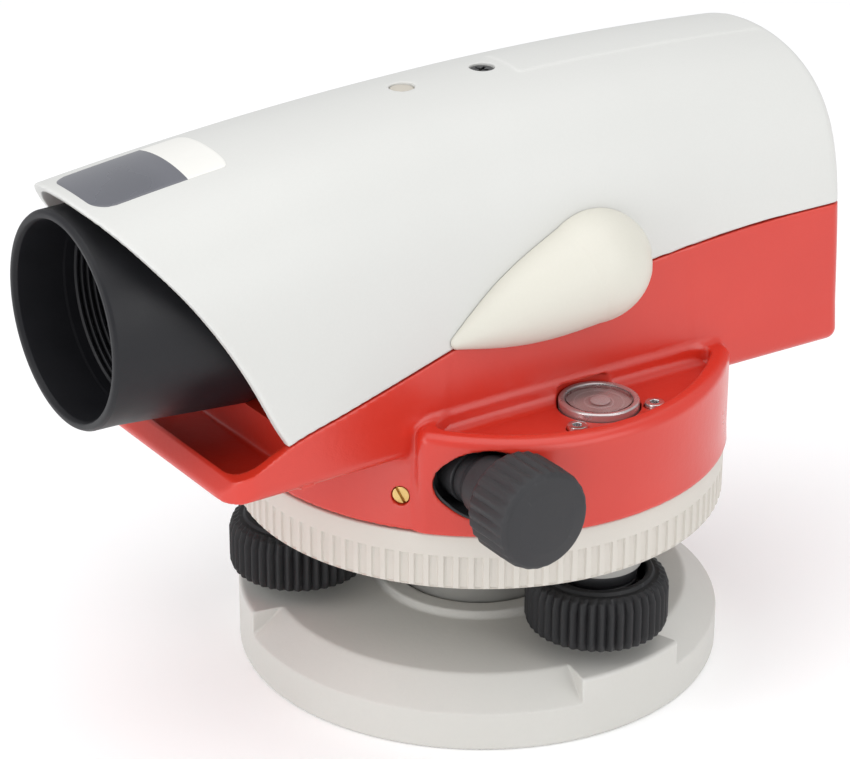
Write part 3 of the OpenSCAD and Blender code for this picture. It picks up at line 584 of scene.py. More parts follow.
def housing(x, y, z):
    ax, ay = np.abs(x), np.abs(y)
    rho = np.hypot(x, y)
    arc = arch(x, y, z)
    # telescope body, below the parting line, with the raked front
    top = above_part(y, z) + 0.14
    f1 = (-(y + 91.5) * 4 + (z - 75.4) * 2.4) / 4.665
    f2 = (-(y + 91.5) * 5.4 - (z - 75.4) * 1.2) / 5.532
    cx = half_w(y) + 0.6 - 8.9
    plan = np.hypot(np.maximum(ax - cx, 0), np.maximum(-82.4 - y, 0)) - 9.0
    skin = r_and(arc, y - REAR, 3.0)
    base = r_and(r_and(r_and(skin, 74 - z, 3.0), np.maximum(f1, f2), 0.8), plan, 0.5)
    # round tongue of the far wall that carries the focusing shaft
    ton = np.minimum(np.hypot(y - FY, z - FZ) - 9.0, np.maximum(np.abs(y - FY) - 9.0, z - FZ))
    topn = np.where(x < 0, np.minimum(top, ton), top)
    low_in = y + 88.3
    inner = np.maximum(r_and(arc + 2.5, y - REAR + 2.5, 1.5), -low_in)
    inner = np.maximum(inner, np.where(y < -70, plan + 3.1, -9))
    inner = r_and(inner, 76.5 - z, 2.6)
    shell = r_and(sub(base, inner), topn, 0.35)
    # low drum
    cone = (rho - (60 - 0.191 * (z - 57.2))) * 0.982
    drum = r_and(np.maximum(cone, z - 75.0), 57.45 - z, 0.5)
    d = r_or(shell, drum, 1.6)
    # pods
    side = ay * C49 - ax * S49
    ztop = 80.2 + 0.105 * np.clip(58 - ax, 0, 24)
    plan_p = r_and(rho - 60.5, side, 3.4)
    pod = r_and(r_and(plan_p, (z - ztop) * 0.995, 2.4), 57.45 - z, 0.5)
    pod = np.maximum(pod, 30 - ax)
    wall_in = arc + 0.6
    podc = np.maximum(pod, -wall_in)  # pods stay outside the body's hollow
    d = r_or(d, podc, 1.7)
    # room inside the drum and under the decks
    room = np.maximum(rho - 54, np.maximum(60 - z, z - 73.6))
    room2 = np.maximum(np.maximum(rho - 57.4, side + 3.2), np.maximum(60 - z, z - 75.2))
    room = np.minimum(room, room2)
    room = np.maximum(room, -np.maximum(rho - 16, z - 66.5))
    boss = np.maximum(np.hypot(y - DY, z - DZ) - 10.6, 35 - ax)
    room = np.maximum(room, -boss)
    d = sub(d, room)
    d = sub(d, np.maximum(rho - 13, np.maximum(z - 73, 50 - z)))
    # pocket in the near pod's deck
    pocket = r_and(r_and(rho - 56.2, side + 3.5, 3.0), 78.2 - z, 1.0)
    pocket = np.maximum(r_and(pocket, -(arc - 0.3), 2.6), 20 - x)
    d = r_sub(d, pocket, 0.8)
    # bulkhead round the lens hood, with fillets to floor and walls
    bulk = np.maximum(np.maximum(np.abs(y + 71.7) - 1.3, z - 102), arc + 0.5)
    bulk = np.maximum(np.maximum(bulk, 74.5 - z), above_part(y, z) + 0.5)
    d = np.where(arc > -0.9, np.minimum(d, bulk), r_or(d, bulk, 1.3))
    # centre of the floor, seat of the bubble, saddles
    d = np.minimum(d, np.maximum(rho - 17, np.maximum(73 - z, z - 78)))
    sx = np.maximum(np.hypot(x - BX, y - BY) - 12.4, np.maximum(73.4 - z, z - 85.0))
    sx = np.maximum(sx, np.minimum(arc + 0.3, np.maximum(rho - 57, z - 78.2)))
    d = np.minimum(d, sx)
    for yy in (-43.5, -21.5):
        d = np.minimum(d, np.maximum(np.maximum(ax - 11, np.abs(y - yy) - 2.5), np.maximum(75 - z, z - 95)))
    # bores
    d = sub(d, np.maximum(np.hypot(y - DY, z - DZ) - 6.5, ax - 9))
    rt = np.hypot(x, z - TEL_Z)
    d = sub(d, np.maximum(rt - 25.35, y + 60))
    d = sub(d, np.maximum(rt - 19.1, y))
    d = r_sub(d, np.maximum(rt - 13.05, 70 - y), 0.5)
    d = sub(d, np.maximum(rho - 8.02, 70 - z))
    notch = r_and(np.hypot(x - BX, y - BY) - 9.85, z - 82.2, 1.2)
    d = r_sub(d, np.maximum(notch, 74.6 - z), 0.45)
    rd = np.hypot(y - DY, z - DZ)
    d = r_sub(d, np.maximum(recess(ax, y, z) - 8.7, 38.0 - ax), 0.6)
    d = sub(d, np.maximum(rd - 5.05, 34 - ax))
    d = sub(d, np.maximum(np.hypot(y - FY, z - FZ) - 6.05, x + 25))
    for yy in (-8.6, 13.8):
        d = r_sub(d, np.maximum(np.hypot(x - 51, y - yy) - 2.55, 76 - z), 0.3)
    # reading window in the drum's rear wall
    win = np.maximum(np.maximum(ax - 7.5, 48 - y), np.abs(z - 65) - 4)
    slotw = np.maximum(np.maximum(ax - 7.5, np.abs(y - 49.5) - 5.5), z - 62)
    d = sub(d, np.minimum(win, slotw))
    # small screws in the drum's front wall
    for a in (-53, -127):
        ca, sa = math.cos(math.radians(a)), math.sin(math.radians(a))
        along = x * ca + y * sa
        rr = np.hypot(-x * sa + y * ca, z - 65)
        d = r_sub(d, np.maximum(rr - 2.25, 50 - along), 0.25)
    return d


H_LO, H_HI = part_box("main_housing")
ob = surface("housing_red", housing, H_LO * 1000, H_HI * 1000, 0.75)
piece(ob, "body_red", "alidade", "body_red", "main_housing")

# ------------------------------------------------------------------ top cover


def cover(x, y, z):
    arc = arch(x, y, z)
    # faint raised strip along the rear half of the crown
    w = np.clip((7.5 - np.abs(x)) / 1.0, 0, 1) * np.clip((y - 4.5) / 1.2, 0, 1) * np.clip((79.5 - y) / 2, 0, 1)
    w = w * w * (3 - 2 * w)
    arc_o = arc - 0.30 * w * (z > 130)
    skin = r_and(arc_o, y - REAR, 3.0)
    inner = r_and(arc + 2.5, y - REAR + 2.5, 1.5)
    low = -(above_part(y, z) - 0.14)
    front = -behind_front(y, z)
    cut = np.maximum(low, front)
    d = r_and(sub(r_and(skin, np.maximum(low + 0.0, front), 0.9), inner), cut, 0.3)
    ton = np.minimum(np.hypot(y - FY, z - FZ) - 9.25, np.maximum(np.abs(y - FY) - 9.25, z - FZ))
    d = sub(d, np.maximum(ton, x))
    rt = np.hypot(x, z - TEL_Z)
    d = r_sub(d, np.maximum(rt - 13.3, 70 - y), 0.5)
    for cy in (float(SCREW.y), float(PLUG.y)):
        d = r_sub(d, np.maximum(np.hypot(x, y - cy) - 3.05, 135 - z), 0.35)
    return d


C_LO, C_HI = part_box("top_cover")
ob = surface("cover_shell", cover, C_LO * 1000, C_HI * 1000, 0.75)
piece(ob, "cover_white", "alidade", "cover_white", "top_cover")

# ------------------------------------------------------------------ prism housing bump


def bump_shape(x, y, z, o):
    # a drop: ellipsoid at the rear blending forward to a small round nose, in a scaled space
    a = np.array([35.0, 6.2, 109.6])
    b = np.array([35.3, -31.2, 99.7])
    sx, sy, sz = 13.0 - o, 15.2 - o, 13.6 - o
    r2 = max(0.5, 1.9 - o)
    # space scaled so that the ellipsoid is a unit ball
    X = np.stack([(x - a[0]) / sx, (y - a[1]) / sy, (z - a[2]) / sz], -1)
    B = (b - a) / np.array([sx, sy, sz])
    L = np.linalg.norm(B)
    u = B / L
    r1, rr = 1.0, r2 / 14.0
    t = X @ u
    s = np.sqrt(np.maximum((X * X).sum(-1) - t * t, 0))
    k = (r1 - rr) / L
    al = math.sqrt(1 - k * k)
    kk = t * 0 + (s * (-k) + t * al)
    d = np.where(kk < 0, np.sqrt(s * s + t * t) - r1, np.where(kk > al * L, np.sqrt(s * s + (t - L) ** 2) - rr, s * al + t * k - r1 - 0.13 * np.sin(np.pi * np.clip(kk / (al * L), 0, 1))))
    return d * 13.4


def bump(x, y, z):
    o = bump_shape(x, y, z, 0.0)
    i = bump_shape(x, y, z, 1.8)
    d = r_and(o, 0.16 - arch(x, y, z), 0.22)
    d = sub(d, np.maximum(i, 37.0 - x))
    d = sub(d, np.maximum(np.maximum(36 - x, x - 40.2), np.maximum(np.abs(y - 4.5) - 4.5, z - 98.5)))
    d = r_sub(d, np.maximum(np.maximum(38.2 - x, x - 43.2), np.maximum(12 - y, np.abs(z - 109) - 3.5)), 0.4)
    return d


P_LO, P_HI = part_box("prism_housing")
ob = surface("prism_cover", bump, np.array(P_LO * 1000) - 3, np.array(P_HI * 1000) + 1, 0.45)
piece(ob, "bump_cream", "alidade", "bump_cream", "prism_housing")

# ------------------------------------------------------------------ base plate


def base_plate(x, y, z):
    rho = np.hypot(x, y)
    phi = np.degrees(np.arctan2(y, x)) - 4
    body = r_and(r_and(rho - 60, z - 16.5, 1.0), -z, 1.2)
    # sloping sectors between the foot screws
    q = np.mod(phi, 120.0)
    m = np.abs(q - 60.0)
    side = (m - 45.5) * np.radians(1.0) * rho
    slope = ((z - 16.5) * 8 + (rho - 52) * 6.7) / 10.43
    cut = r_and(-slope, side, 0.6)
    d = r_sub(body, cut, 0.35)
    collar = np.maximum(np.maximum(rho - 25.6, 20.8 - rho), np.maximum(z - 18.3, 10 - z))
    collar = r_and(r_and(rho - 25.6, z - 18.3, 0.7), 10 - z, 0.1)
    d = r_or(d, collar, 1.0)
    d = r_sub(d, np.maximum(rho - 20.8, 14.5 - z), 0.6)
    d = sub(d, rho - 11.02)
    for i in range(3):
        a = math.radians(4 + 120 * i)
        cx, cy = 45 * math.cos(a), 45 * math.sin(a)
        r = np.hypot(x - cx, y - cy)
        d = sub(d, np.maximum(r - 5.3, z - 12))
        d = r_sub(d, np.maximum(r - 4.35, 5 - z), 0.3)
        # channel of the spring plate
        u = x * math.cos(a) + y * math.sin(a)
        v = -x * math.sin(a) + y * math.cos(a)
        arm = np.maximum(np.abs(v) - 8, np.maximum(-u, u - 45))
        arm = np.minimum(arm, r - 8)
        arm = np.minimum(arm, rho - 23)
        arm = np.maximum(arm, 11.6 - rho)
        d = sub(d, np.maximum(arm, z - 1.8))
        b = math.radians(64 + 120 * i)
        d = sub(d, np.maximum(np.hypot(x - 18 * math.cos(b), y - 18 * math.sin(b)) - 1.55, z - 7))
    return d


B_LO, B_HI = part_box("base_plate")
ob = surface("base_plate_cast", base_plate, B_LO * 1000, B_HI * 1000, 0.75)
piece(ob, "cast_grey", "base", "cast_grey", "base_plate")

# ------------------------------------------------------------------ horizontal circle ring

RIBS = 108


def rib_wave(th, h):
    c = np.cos(th * RIBS)
    return -0.62 * np.clip((0.35 - c) * 2.4, 0, 1)


ring_prof = [
    (18.3, 44.6, 0), (56, 44.6, 0.4), (57, 43.2, 0.4), (59.6, 43.2, 0.3, 0), (60.0, 43.6, 0.2, 1), (60.0, 44.2, 0, 1), (60.0, 51.2, 0, 1), (60.0, 51.6, 0, 0.0),
    (60.0, 52.4, 0), (60.0, 56.9, 0.5), (56, 56.9, 0.5), (56, 53.6, 0.2), (50, 53.6, 0.2), (50, 47.6, 0.2), (18.3, 47.6, 0),
]
ob = lathe("circle_ring_ribbed", ring_prof, "z", (0, 0), seg=RIBS * 12, wave=rib_wave, sharp=38)
piece(ob, "ring_grey", "circle", "ring_grey", "circle_ring")

# ------------------------------------------------------------------ foot screws

FLUTES = 44


def flute_wave(th, h):
    c = np.abs(np.cos(th * FLUTES / 2))
    return -1.05 * (1 - c) ** 0.8


knob_prof = [
    (4.3, 21.4, 0), (14.8, 21.4, 0.8, 0.3), (16.6, 22.2, 0.9, 0.8), (17.2, 24, 1.0, 1), (17.2, 28, 0, 1), (17.2, 32.2, 1.5, 1), (16.4, 34.6, 1.0, 0.85), (14.9, 35.5, 0.6, 0.25),
    (13.7, 35.5, 0.3, 0), (13.2, 36.3, 0.35), (12.1, 36.4, 0.35), (11.6, 35.9, 0.3), (11.6, 34, 0.5), (13, 33, 0.5), (13, 27.5, 0.5), (4.3, 27.5, 0),
]
for tag in "abc":
    c = centre("foot_knob_" + tag)
    ob = lathe("foot_knob_fluted_" + tag, knob_prof, "z", (c.x, c.y), seg=FLUTES * 10, wave=flute_wave, sharp=50)
    piece(ob, "black_foot", "foot_screw_" + tag, "black_rubber", "foot_knob_" + tag)
    # two-step dust sleeve above the knob
    sl = lathe(
        "foot_sleeve_" + tag,
        [(7.45, 31.6, 0.2), (10.4, 31.6, 0.3), (10.4, 32.4, 0.3), (9.6, 32.9, 0.3), (9.6, 34.6, 0.2), (9.35, 34.9, 0.1), (9.35, 35.3, 0.1), (9.6, 35.6, 0.2), (9.6, 38.58, 0.4), (7.45, 38.58, 0.2)],
        "z", (c.x, c.y), seg=160,
    )
    piece(sl, "black_metal", "tribrach", "black_rubber")
    if tag == "a":
        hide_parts("foot_sleeves")

# ------------------------------------------------------------------ lens hood and objective

hy = HOOD_Y
groove = []
for i in range(5):  # baffle threads inside the hood
    y0 = hy + 24.0 + i * 1.3
    groove += [(22.5, y0 + 1.3 * 0.0, 0.0), (22.15, y0 + 0.35, 0.05), (22.15, y0 + 0.75, 0.05), (22.5, y0 + 1.05, 0.0)]
hood_prof = (
    [(22.7, hy + 1.1, 0.6), (23.2, hy + 0.0, 0.55), (24.5, hy + 0.0, 0.75), (25, hy + 1.0, 0.8), (25.1, -106, 0), (27.6, -76, 0), (27.7, -73.4, 0.3), (25.2, -73.2, 0.2), (25.2, -68, 0.2), (22.4, -68, 0), (22.4, -80.6, 0), (20.4, -80.6, 0.2), (20.4, -84, 0.25), (21.2, -84.2, 0.1), (21.2, -86.6, 0.1), (21.7, -86.9, 0.1), (21.7, -88.4, 0.1), (22.5, -88.8, 0.15)]
    + [q for i in range(5) for q in ((22.5, -90.2 - i * 1.5, 0.0), (21.95, -90.55 - i * 1.5, 0.08), (21.95, -90.95 - i * 1.5, 0.08), (22.5, -91.3 - i * 1.5, 0.0))]
    + [(22.5, -99.5, 0.3), (22.62, -100.1, 0.3)]
)
ob = lathe("lens_hood_tube", hood_prof, "y", (0, TEL_Z), seg=288, sharp=40)
piece(ob, "hood_black", "alidade", "hood_black", "lens_hood")
ob = lathe("objective_retainer", [(16.8, -78.2, 0.2), (17.3, -79.3, 0.3), (18.35, -79.4, 0.2), (18.35, -78.0, 0)], "y", (0, TEL_Z), seg=192)
piece(ob, "black_metal", "alidade", "black_metal", "objective_ring")

# ------------------------------------------------------------------ drive knobs

DRIBS = 26


def drive_wave(th, h):
    c = np.abs(np.cos(th * DRIBS / 2))
    return -0.62 * (1 - c) ** 0.75


for s, tag in ((1, "right"), (-1, "left")):

    # Black lining of the drive recess: a dark sleeve and flange that paint the shadow inside the recess.
    def shade_lining(x, y, z, s=s):
        r = recess(s * x, y, z)
        d = np.maximum(np.maximum(r - 8.66, 8.0 - r), 38.0 - s * x)
        h = np.hypot(y - DY, z - DZ)
        d = np.minimum(d, np.maximum(np.maximum(r - 8.66, 5.2 - h), np.abs(s * x - 38.5) - 0.45))
        d = np.minimum(d, np.maximum(np.maximum(h - 6.7, 5.2 - h), np.abs(s * x - 41.4) - 3.1))
        return r_and(d, np.hypot(x, y) - 59.3 - (z - 70) * -0.19, 0.15)

    lx = sorted((s * 37.9, s * 57.0))
    ob = surface("drive_shade_lining_" + tag, shade_lining, (lx[0], DY - 12, DZ - 9), (lx[1], DY + 9, DZ + 9), 0.32)
    piece(ob, "black_rubber", "alidade", "black_rubber")
    dk = [
        (3.02, 44.8, 0), (6.2, 44.8, 0.3), (6.2, 47.4, 0.3), (7.3, 49.8, 0.4), (7.3, 57.2, 0.5), (8.6, 57.9, 0.3), (11.2, 58.1, 0.4, 0.2), (11.9, 59, 0.6, 0.9), (12.0, 61, 0, 1), (12.05, 67.6, 0, 1), (11.95, 70.0, 0, 0.7),
        (11.6, 71.2, 0.8, 0.2), (10.7, 72.2, 1.2, 0), (7.4, 72.7, 3), (3.0, 72.95, 0), (0, 73.0, 0), (0, 66.1, 0), (3.02, 66.05, 0),
    ]
    dk = [(p[0], s * p[1], *p[2:]) for p in dk]
    ob = lathe("drive_knob_" + tag, dk, "x", (DY, DZ), seg=DRIBS * 12, wave=drive_wave, sharp=55)
    piece(ob, "black_rubber", "drive", "black_rubber")
    if s > 0:
        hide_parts("drive_knobs")

# ------------------------------------------------------------------ focusing knob

FRIBS = 36


def focus_wave(th, h):
    c = np.abs(np.cos(th * FRIBS / 2))
    return -0.7 * (1 - c) ** 0.75


fp = [
    (2.55, -41, 0), (13.0, -41, 0.5), (14.4, -41.6, 0.8, 0.2), (15, -43.2, 0.7, 1), (14.8, -47, 0, 1), (14.5, -53.2, 0.8, 1), (13.8, -55.2, 0.8, 0.3), (12.4, -56.1, 1.2, 0), (8, -56.45, 0), (7.4, -56.2, 0.3), (6.6, -56.2, 0.3), (6, -56.5, 0), (0, -56.6, 0), (0, -54.05, 0), (2.55, -54.02, 0),
]
ob = lathe("focus_knob_ribbed", fp, "x", (FY, FZ), seg=FRIBS * 10, wave=focus_wave, sharp=50)
piece(ob, "black_rubber", "focus_drive", "black_rubber", "focus_knob")

# ------------------------------------------------------------------ eyepiece

ERIBS = 48


def eye_wave(th, h):
    return -0.35 * (1 - np.abs(np.cos(th * ERIBS / 2))) ** 0.8


ob = lathe(
    "dioptre_ring_ribbed",
    [(13.3, 82.4, 0.2), (15.4, 82.4, 0.3), (15.95, 83.2, 0.3, 1), (15.85, 86, 0, 1), (15.65, 89.6, 0, 1), (15.5, 90.4, 0.3, 0.3), (14.9, 91, 0.3), (9, 91, 0), (9, 89.8, 0), (13.3, 89.8, 0)],
    "y", (0, TEL_Z), seg=ERIBS * 8, wave=eye_wave, sharp=45,
)
piece(ob, "black_rubber", "dioptre", "black_rubber", "dioptre_ring")
ob = lathe(
    "eyecup_rubber",
    [(9, 91.02, 0), (14.6, 91.02, 0.3), (14.45, 92.2, 0.4), (14.15, 92.6, 0.3), (14.3, 93.1, 0.3), (14.0, 94.6, 0.6), (13.3, 95, 0.4), (12.6, 94.8, 0.3), (12, 92.7, 0.5), (9, 92.4, 0.3)],
    "y", (0, TEL_Z), seg=192, sharp=45,
)
piece(ob, "black_rubber", "dioptre", "black_rubber", "eyecup")

# ------------------------------------------------------------------ circular bubble

ob = lathe(
    "bubble_case_turned",
    [(0, 74.7, 0), (9.5, 74.7, 0.3), (9.5, 79.7, 0.35), (9.1, 80.0, 0.2), (8.3, 80.0, 0.2), (8.0, 79.7, 0.1), (8.0, 76.4, 0), (0, 76.4, 0)],
    "z", (BX, BY), seg=192,
)
piece(ob, "vial_metal", "alidade", "vial_metal", "bubble_case")
ob = lathe("bubble_vial_base", [(0, 76.42, 0), (7.9, 76.42, 0), (7.9, 78.3, 0.2), (5.4, 78.5, 0.1), (0, 78.5, 0)], "z", (BX, BY), seg=160)
piece(ob, "vial_base", "alidade", "vial_glass")
for k, (ri, ro) in enumerate(((3.15, 3.5), (5.6, 5.95))):
    ob = lathe("bubble_mark_%d" % k, [(ri, 78.5, 0), (ro, 78.5, 0), (ro, 78.56, 0), (ri, 78.56, 0)], "z", (BX, BY), seg=128)
    piece(ob, "ink_ring", "alidade", "scale_white")
ob = lathe("bubble_air", [(0, 78.62, 0), (2.0, 78.66, 0), (2.5, 78.85, 0.2), (2.1, 79.1, 0.2), (0, 79.14, 0)], "z", (BX + 0.3, BY + 0.2), seg=96)
piece(ob, "ink_ring", "alidade", "vial_glass")
ob = lathe("bubble_vial_glass", [(0, 79.15, 0), (7.93, 79.15, 0), (7.93, 79.62, 0.2), (7.6, 79.72, 0.1), (0, 79.95, 0)], "z", (BX, BY), seg=160)
piece(ob, "vial_glass", "alidade", "vial_glass", "bubble_vial")


def hex_screw(name, cx, cy, z0, z1, r, af, depth):
    """Socket screw: turned head with a real hexagon socket."""
    seg = 72
    th = np.arange(seg) / seg * 2 * math.pi
    hexr = af / np.cos((th + math.pi / 6) % (math.pi / 3) - math.pi / 6)
    rows = [
        (np.full(seg, r), z0), (np.full(seg, r), z1 - 0.35), (np.full(seg, r - 0.1), z1 - 0.1), (np.full(seg, r - 0.35), z1),
        (hexr * 1.12, z1), (hexr, z1 - 0.12), (hexr, z1 - depth),
    ]
    verts, faces = [], []
    for rr, zz in rows:
        verts += [(cx + a * math.cos(t), cy + a * math.sin(t), zz) for a, t in zip(rr, th)]
    n = len(rows)
    for i in range(n - 1):
        for j in range(seg):
            k = (j + 1) % seg
            faces.append([i * seg + j, i * seg + k, (i + 1) * seg + k, (i + 1) * seg + j])
    faces.append([j for j in range(seg)][::-1])
    faces.append([(n - 1) * seg + j for j in range(seg)])
    o = build(name, np.array(verts) * MM, faces)
    o.data.set_sharp_from_angle(angle=math.radians(32))
    return o


for k, yy in enumerate((-8.6, 13.8)):
    ob = hex_screw("bubble_screw_%d" % k, 51.0, yy, 76.1, 79.2, 2.35, 1.0, 1.5)
    piece(ob, "chrome", "alidade", "chrome")
    if k == 0:
        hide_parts("bubble_screws")


def slot_screw(name, mat4, r, h, slot_w, slot_d, cross=False, dome=0.0):
    """Screw head with a real slot, or a cross recess, meshed from its field, placed by a matrix (local z out of the surface, mm)."""
    Mi = np.linalg.inv(np.array(mat4, float))
    turn = math.radians(30)

    def f(x, y, z):
        p = np.stack([x, y, z], -1) @ Mi[:3, :3].T + Mi[:3, 3]
        u = p[..., 0] * math.cos(turn) + p[..., 1] * math.sin(turn)
        v = -p[..., 0] * math.sin(turn) + p[..., 1] * math.cos(turn)
        w = p[..., 2]
        rad = np.hypot(u, v)
        d = r_and(np.maximum(rad - r, -w - 1.5), w - h + dome * rad * rad / (r * r), 0.22)
        if cross:
            arm = np.minimum(np.maximum(np.abs(u) - slot_w / 2, np.abs(v) - r * 0.62), np.maximum(np.abs(v) - slot_w / 2, np.abs(u) - r * 0.62))
            d = np.maximum(d, -np.maximum(arm, (h - slot_d) - w))
        else:
            d = np.maximum(d, -np.maximum(np.abs(u) - slot_w / 2, (h - slot_d) - w))
        return d

    cpt = np.array(mat4, float)[:3, 3]
    return surface(name, f, cpt - r - 1.6, cpt + r + 1.6, 0.17)


def frame_matrix(origin, out):
    z = np.array(out, float)
    z /= np.linalg.norm(z)
    x = np.cross((0, 0, 1.0), z) if abs(z[2]) < 0.9 else np.cross((0, 1.0, 0), z)
    x /= np.linalg.norm(x)
    y = np.cross(z, x)
    m = np.eye(4)
    m[:3, 0], m[:3, 1], m[:3, 2], m[:3, 3] = x, y, z, origin
    return m


for k, a in enumerate((-53, -127)):
    ca, sa = math.cos(math.radians(a)), math.sin(math.radians(a))
    ob = slot_screw("housing_screw_%d" % k, frame_matrix((57.0 * ca, 57.0 * sa, 65.0), (ca, sa, 0)), 2.1, 1.2, 0.62, 0.8)
    piece(ob, "brass", "alidade", "brass")
    if k == 0:
        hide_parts("housing_screws")
for k in range(3):
    a = math.radians(4 - 49 + 120 * k)
    ca, sa = math.cos(a), math.sin(a)
    ob = slot_screw("tribrach_screw_%d" % k, frame_matrix((20.3 * ca, 20.3 * sa, 34.6), (ca, sa, 0)), 2.1, 1.2, 0.55, 0.7)
    piece(ob, "brass", "tribrach", "brass")
    if k == 0:
        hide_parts("tribrach_screws")
zc = float(crown(0.0))
ob = slot_screw("cover_screw_cross", frame_matrix((0, float(SCREW.y), zc - 1.7), (0, 0, 1)), 2.75, 1.1, 0.85, 1.0, cross=True)
piece(ob, "dark_screw", "alidade", "black_metal", "cover_screw")
ob = lathe("cover_plug_cap", [(0, zc - 3.2, 0), (2.85, zc - 3.2, 0.2), (2.85, zc - 1.15, 0.35), (2.3, zc - 1.0, 0.3), (0, zc - 0.85, 0)], "z", (0, float(PLUG.y)), seg=96)
piece(ob, "plug_grey", "alidade", "plug_grey", "cover_plug")

# ------------------------------------------------------------------ plain two-tone label on the cover's front


def crown_z(x, y):
    """Height of the cover's outer skin over (x, y)."""
    z = np.full(x.shape, 1.0) * crown(y)
    for _ in range(30):
        p = arch(x, y, z)
        z = z - p
    return z


def label():
    S, r = 10.9, 4.2
    ns, nt = 61, 81
    s = np.linspace(-S, S, ns)
    inset = np.where(np.abs(s) > S - r, r - np.sqrt(np.maximum(r * r - (np.abs(s) - (S - r)) ** 2, 0)), 0)
    y0, y1 = -108.1, -75.0
    t = np.linspace(0, 1, nt)
    zf = crown_z(s, np.full(ns, y0))
    front = np.interp(zf, FRONT[0], FRONT[1]) + 3.4
    ya = front + inset
    yb = np.full(ns, y1) - inset * 0.35
    ym = -85.6
    Y = np.where(t[None] < 0.5, ya[:, None] + (ym - ya)[:, None] * t[None] * 2, ym + (yb - ym)[:, None] * (t[None] * 2 - 1))
    X = np.repeat(s[:, None], nt, 1)
    Z = crown_z(X, Y)
    P = np.stack([X, Y, Z], -1)
    n = grad(arch, P.reshape(-1, 3)).reshape(P.shape)
    top = P + n * 0.13
    bot = P - n * 0.02
    edge = np.zeros((ns, nt), bool)
    edge[0], edge[-1], edge[:, 0], edge[:, -1] = True, True, True, True
    top[edge] = (P + n * 0.05)[edge]
    verts = np.concatenate([top.reshape(-1, 3), bot.reshape(-1, 3)])
    k = ns * nt
    idx = np.arange(k).reshape(ns, nt)
    up = np.stack([idx[:-1, :-1], idx[1:, :-1], idx[1:, 1:], idx[:-1, 1:]], -1).reshape(-1, 4)
    dn = up[:, ::-1] + k
    rim = []
    loopi = list(idx[:, 0]) + list(idx[-1, 1:]) + list(idx[-2::-1, -1]) + list(idx[0, -2:0:-1])
    for i in range(len(loopi)):
        a, b = loopi[i], loopi[(i + 1) % len(loopi)]
        rim.append([b, a, a + k, b + k])
    faces = np.concatenate([up, dn, np.array(rim)])
    o = build("cover_label", verts * MM, faces)
    fy = verts[:, 1][faces].mean(1)
    o.data.materials.append(M["label_grey"])
    o.data.materials.append(M["label_white"])
    o.data.polygons.foreach_set("material_index", (fy > -85.6).astype(np.int32))
    o.data.set_sharp_from_angle(angle=math.radians(40))
    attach(o, "alidade")
    return o


label()

# ------------------------------------------------------------------ finishes for the CAD nodes that stay

STAY = {
    "thread_insert": "brass", "spring_plate": "spring_steel", "spring_plate_screws": "steel",
    "foot_spindle_a": "steel", "foot_spindle_b": "steel", "foot_spindle_c": "steel",
    "tribrach_body": "tribrach_grey", "foot_bushes": "brass", "axis_bush": "brass", "graduated_circle": "scale_white",
    "worm_wheel": "brass", "clutch_washer": "spring_steel", "vertical_axis": "steel", "axis_nut": "grey_metal",
    "bubble_prism": "glass", "objective_cell": "black_metal", "objective_lens": "coated_glass", "telescope_tube": "black_metal",
    "compensator_frame": "grey_metal", "fixed_prisms": "glass", "suspension_tapes": "spring_steel", "damper_cylinder": "grey_metal",
    "drive_bushes": "brass", "focus_bush": "brass", "eyepiece_tube": "black_metal", "reticle": "glass", "circle_window": "glass",
    "drive_shaft": "steel", "drive_worm": "brass", "focus_pinion": "brass", "focus_carrier": "grey_metal", "focus_lens": "glass",
    "eyepiece_cell": "black_metal", "eyepiece_lenses": "coated_glass", "pendulum": "grey_metal", "pendulum_prism": "glass",
}
for n, key in STAY.items():
    o = NODE[n]
    if len(o.material_slots) == 0:
        o.data.materials.append(M[key])
    for sl in o.material_slots:
        sl.link = "OBJECT"
        sl.material = M[key]

# ------------------------------------------------------------------ floor, light, camera

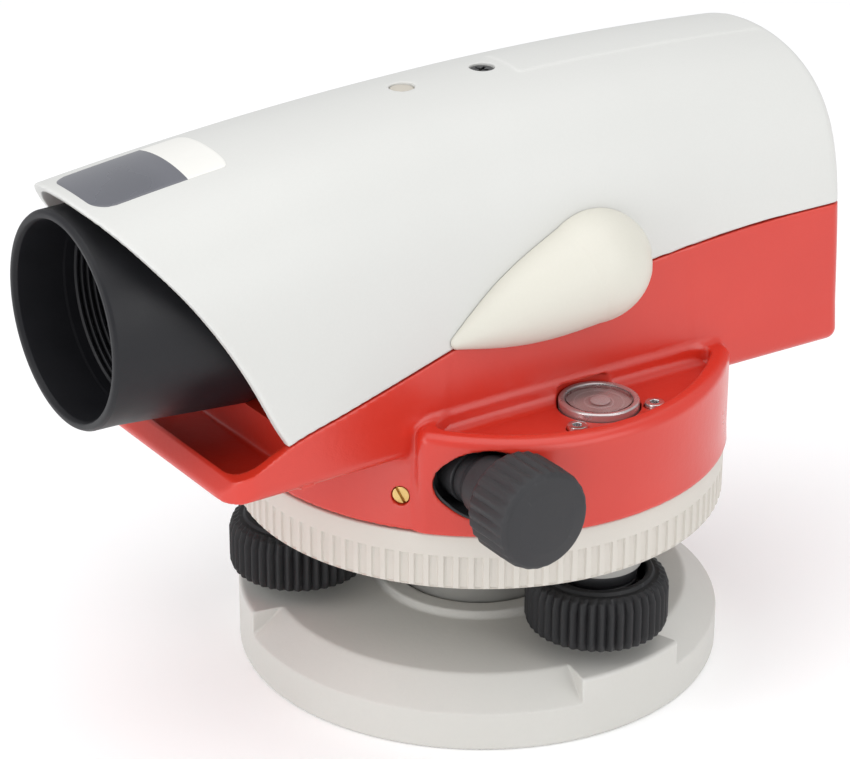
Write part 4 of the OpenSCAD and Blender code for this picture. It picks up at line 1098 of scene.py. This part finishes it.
bpy.ops.mesh.primitive_plane_add(size=12, location=(0, 0, 0))
floor = bpy.context.object
floor.name = "floor"
fm = bpy.data.materials.new("floor_pale")
fm.use_nodes = True
fb = fm.node_tree.nodes["Principled BSDF"]
fb.inputs["Base Color"].default_value = (0.95, 0.95, 0.95, 1)
fb.inputs["Emission Color"].default_value = (1, 1, 1, 1)
fb.inputs["Emission Strength"].default_value = 0.10
fb.inputs["Roughness"].default_value = 0.9
fb.inputs["Specular IOR Level"].default_value = 0.1
floor.data.materials.append(fm)

bpy.context.scene.view_settings.view_transform = "Standard"
world = bpy.data.worlds.new("studio")
bpy.context.scene.world = world
world.use_nodes = True
bg = world.node_tree.nodes["Background"]
bg.inputs[0].default_value = (0.97, 0.98, 1.0, 1)
bg.inputs[1].default_value = 0.62


def area(name, loc, target, size, power, colour=(1, 1, 1)):
    l = bpy.data.lights.new(name, "AREA")
    l.shape = "RECTANGLE"
    l.size, l.size_y = size
    l.energy = power
    l.color = colour
    o = bpy.data.objects.new(name, l)
    bpy.context.scene.collection.objects.link(o)
    o.location = loc
    d = Vector(target) - Vector(loc)
    o.rotation_mode = "QUATERNION"
    o.rotation_quaternion = d.to_track_quat("-Z", "Y")
    return o


area("top_soft", (0.10, -0.05, 1.15), (0, 0, 0.1), (1.3, 1.3), 6.0)
area("key_left", (-0.15, -1.15, 0.75), (0, 0, 0.1), (0.8, 0.8), 4.4)
area("fill_right", (1.2, 0.35, 0.55), (0, 0, 0.08), (0.9, 0.9), 4.6)

area("front_low", (0.30, -1.0, 0.24), (0, -0.06, 0.08), (0.5, 0.4), 1.6)

cam_d = bpy.data.cameras.new("camera")
cam = bpy.data.objects.new("camera", cam_d)
bpy.context.scene.collection.objects.link(cam)
bpy.context.scene.camera = cam
yaw, pitch, roll = 2.54633255, -0.430533689, 0.00279612819
cam_d.sensor_fit = "HORIZONTAL"
cam_d.sensor_width = 36.0
cam_d.lens = 124.853
fwd = Vector((math.cos(pitch) * math.cos(yaw), math.cos(pitch) * math.sin(yaw), math.sin(pitch)))
right = fwd.cross(Vector((0, 0, 1))).normalized()
up = right.cross(fwd)
r2 = right * math.cos(roll) + up * math.sin(roll)
u2 = up * math.cos(roll) - right * math.sin(roll)
R = Matrix((r2, u2, -fwd)).transposed()
cam.matrix_world = Matrix.Translation(Vector((0.534531, -0.378117, 0.369433))) @ R.to_4x4()
cam_d.clip_start, cam_d.clip_end = 0.02, 30
cam_d.dof.use_dof = False

bpy.context.view_layer.update()
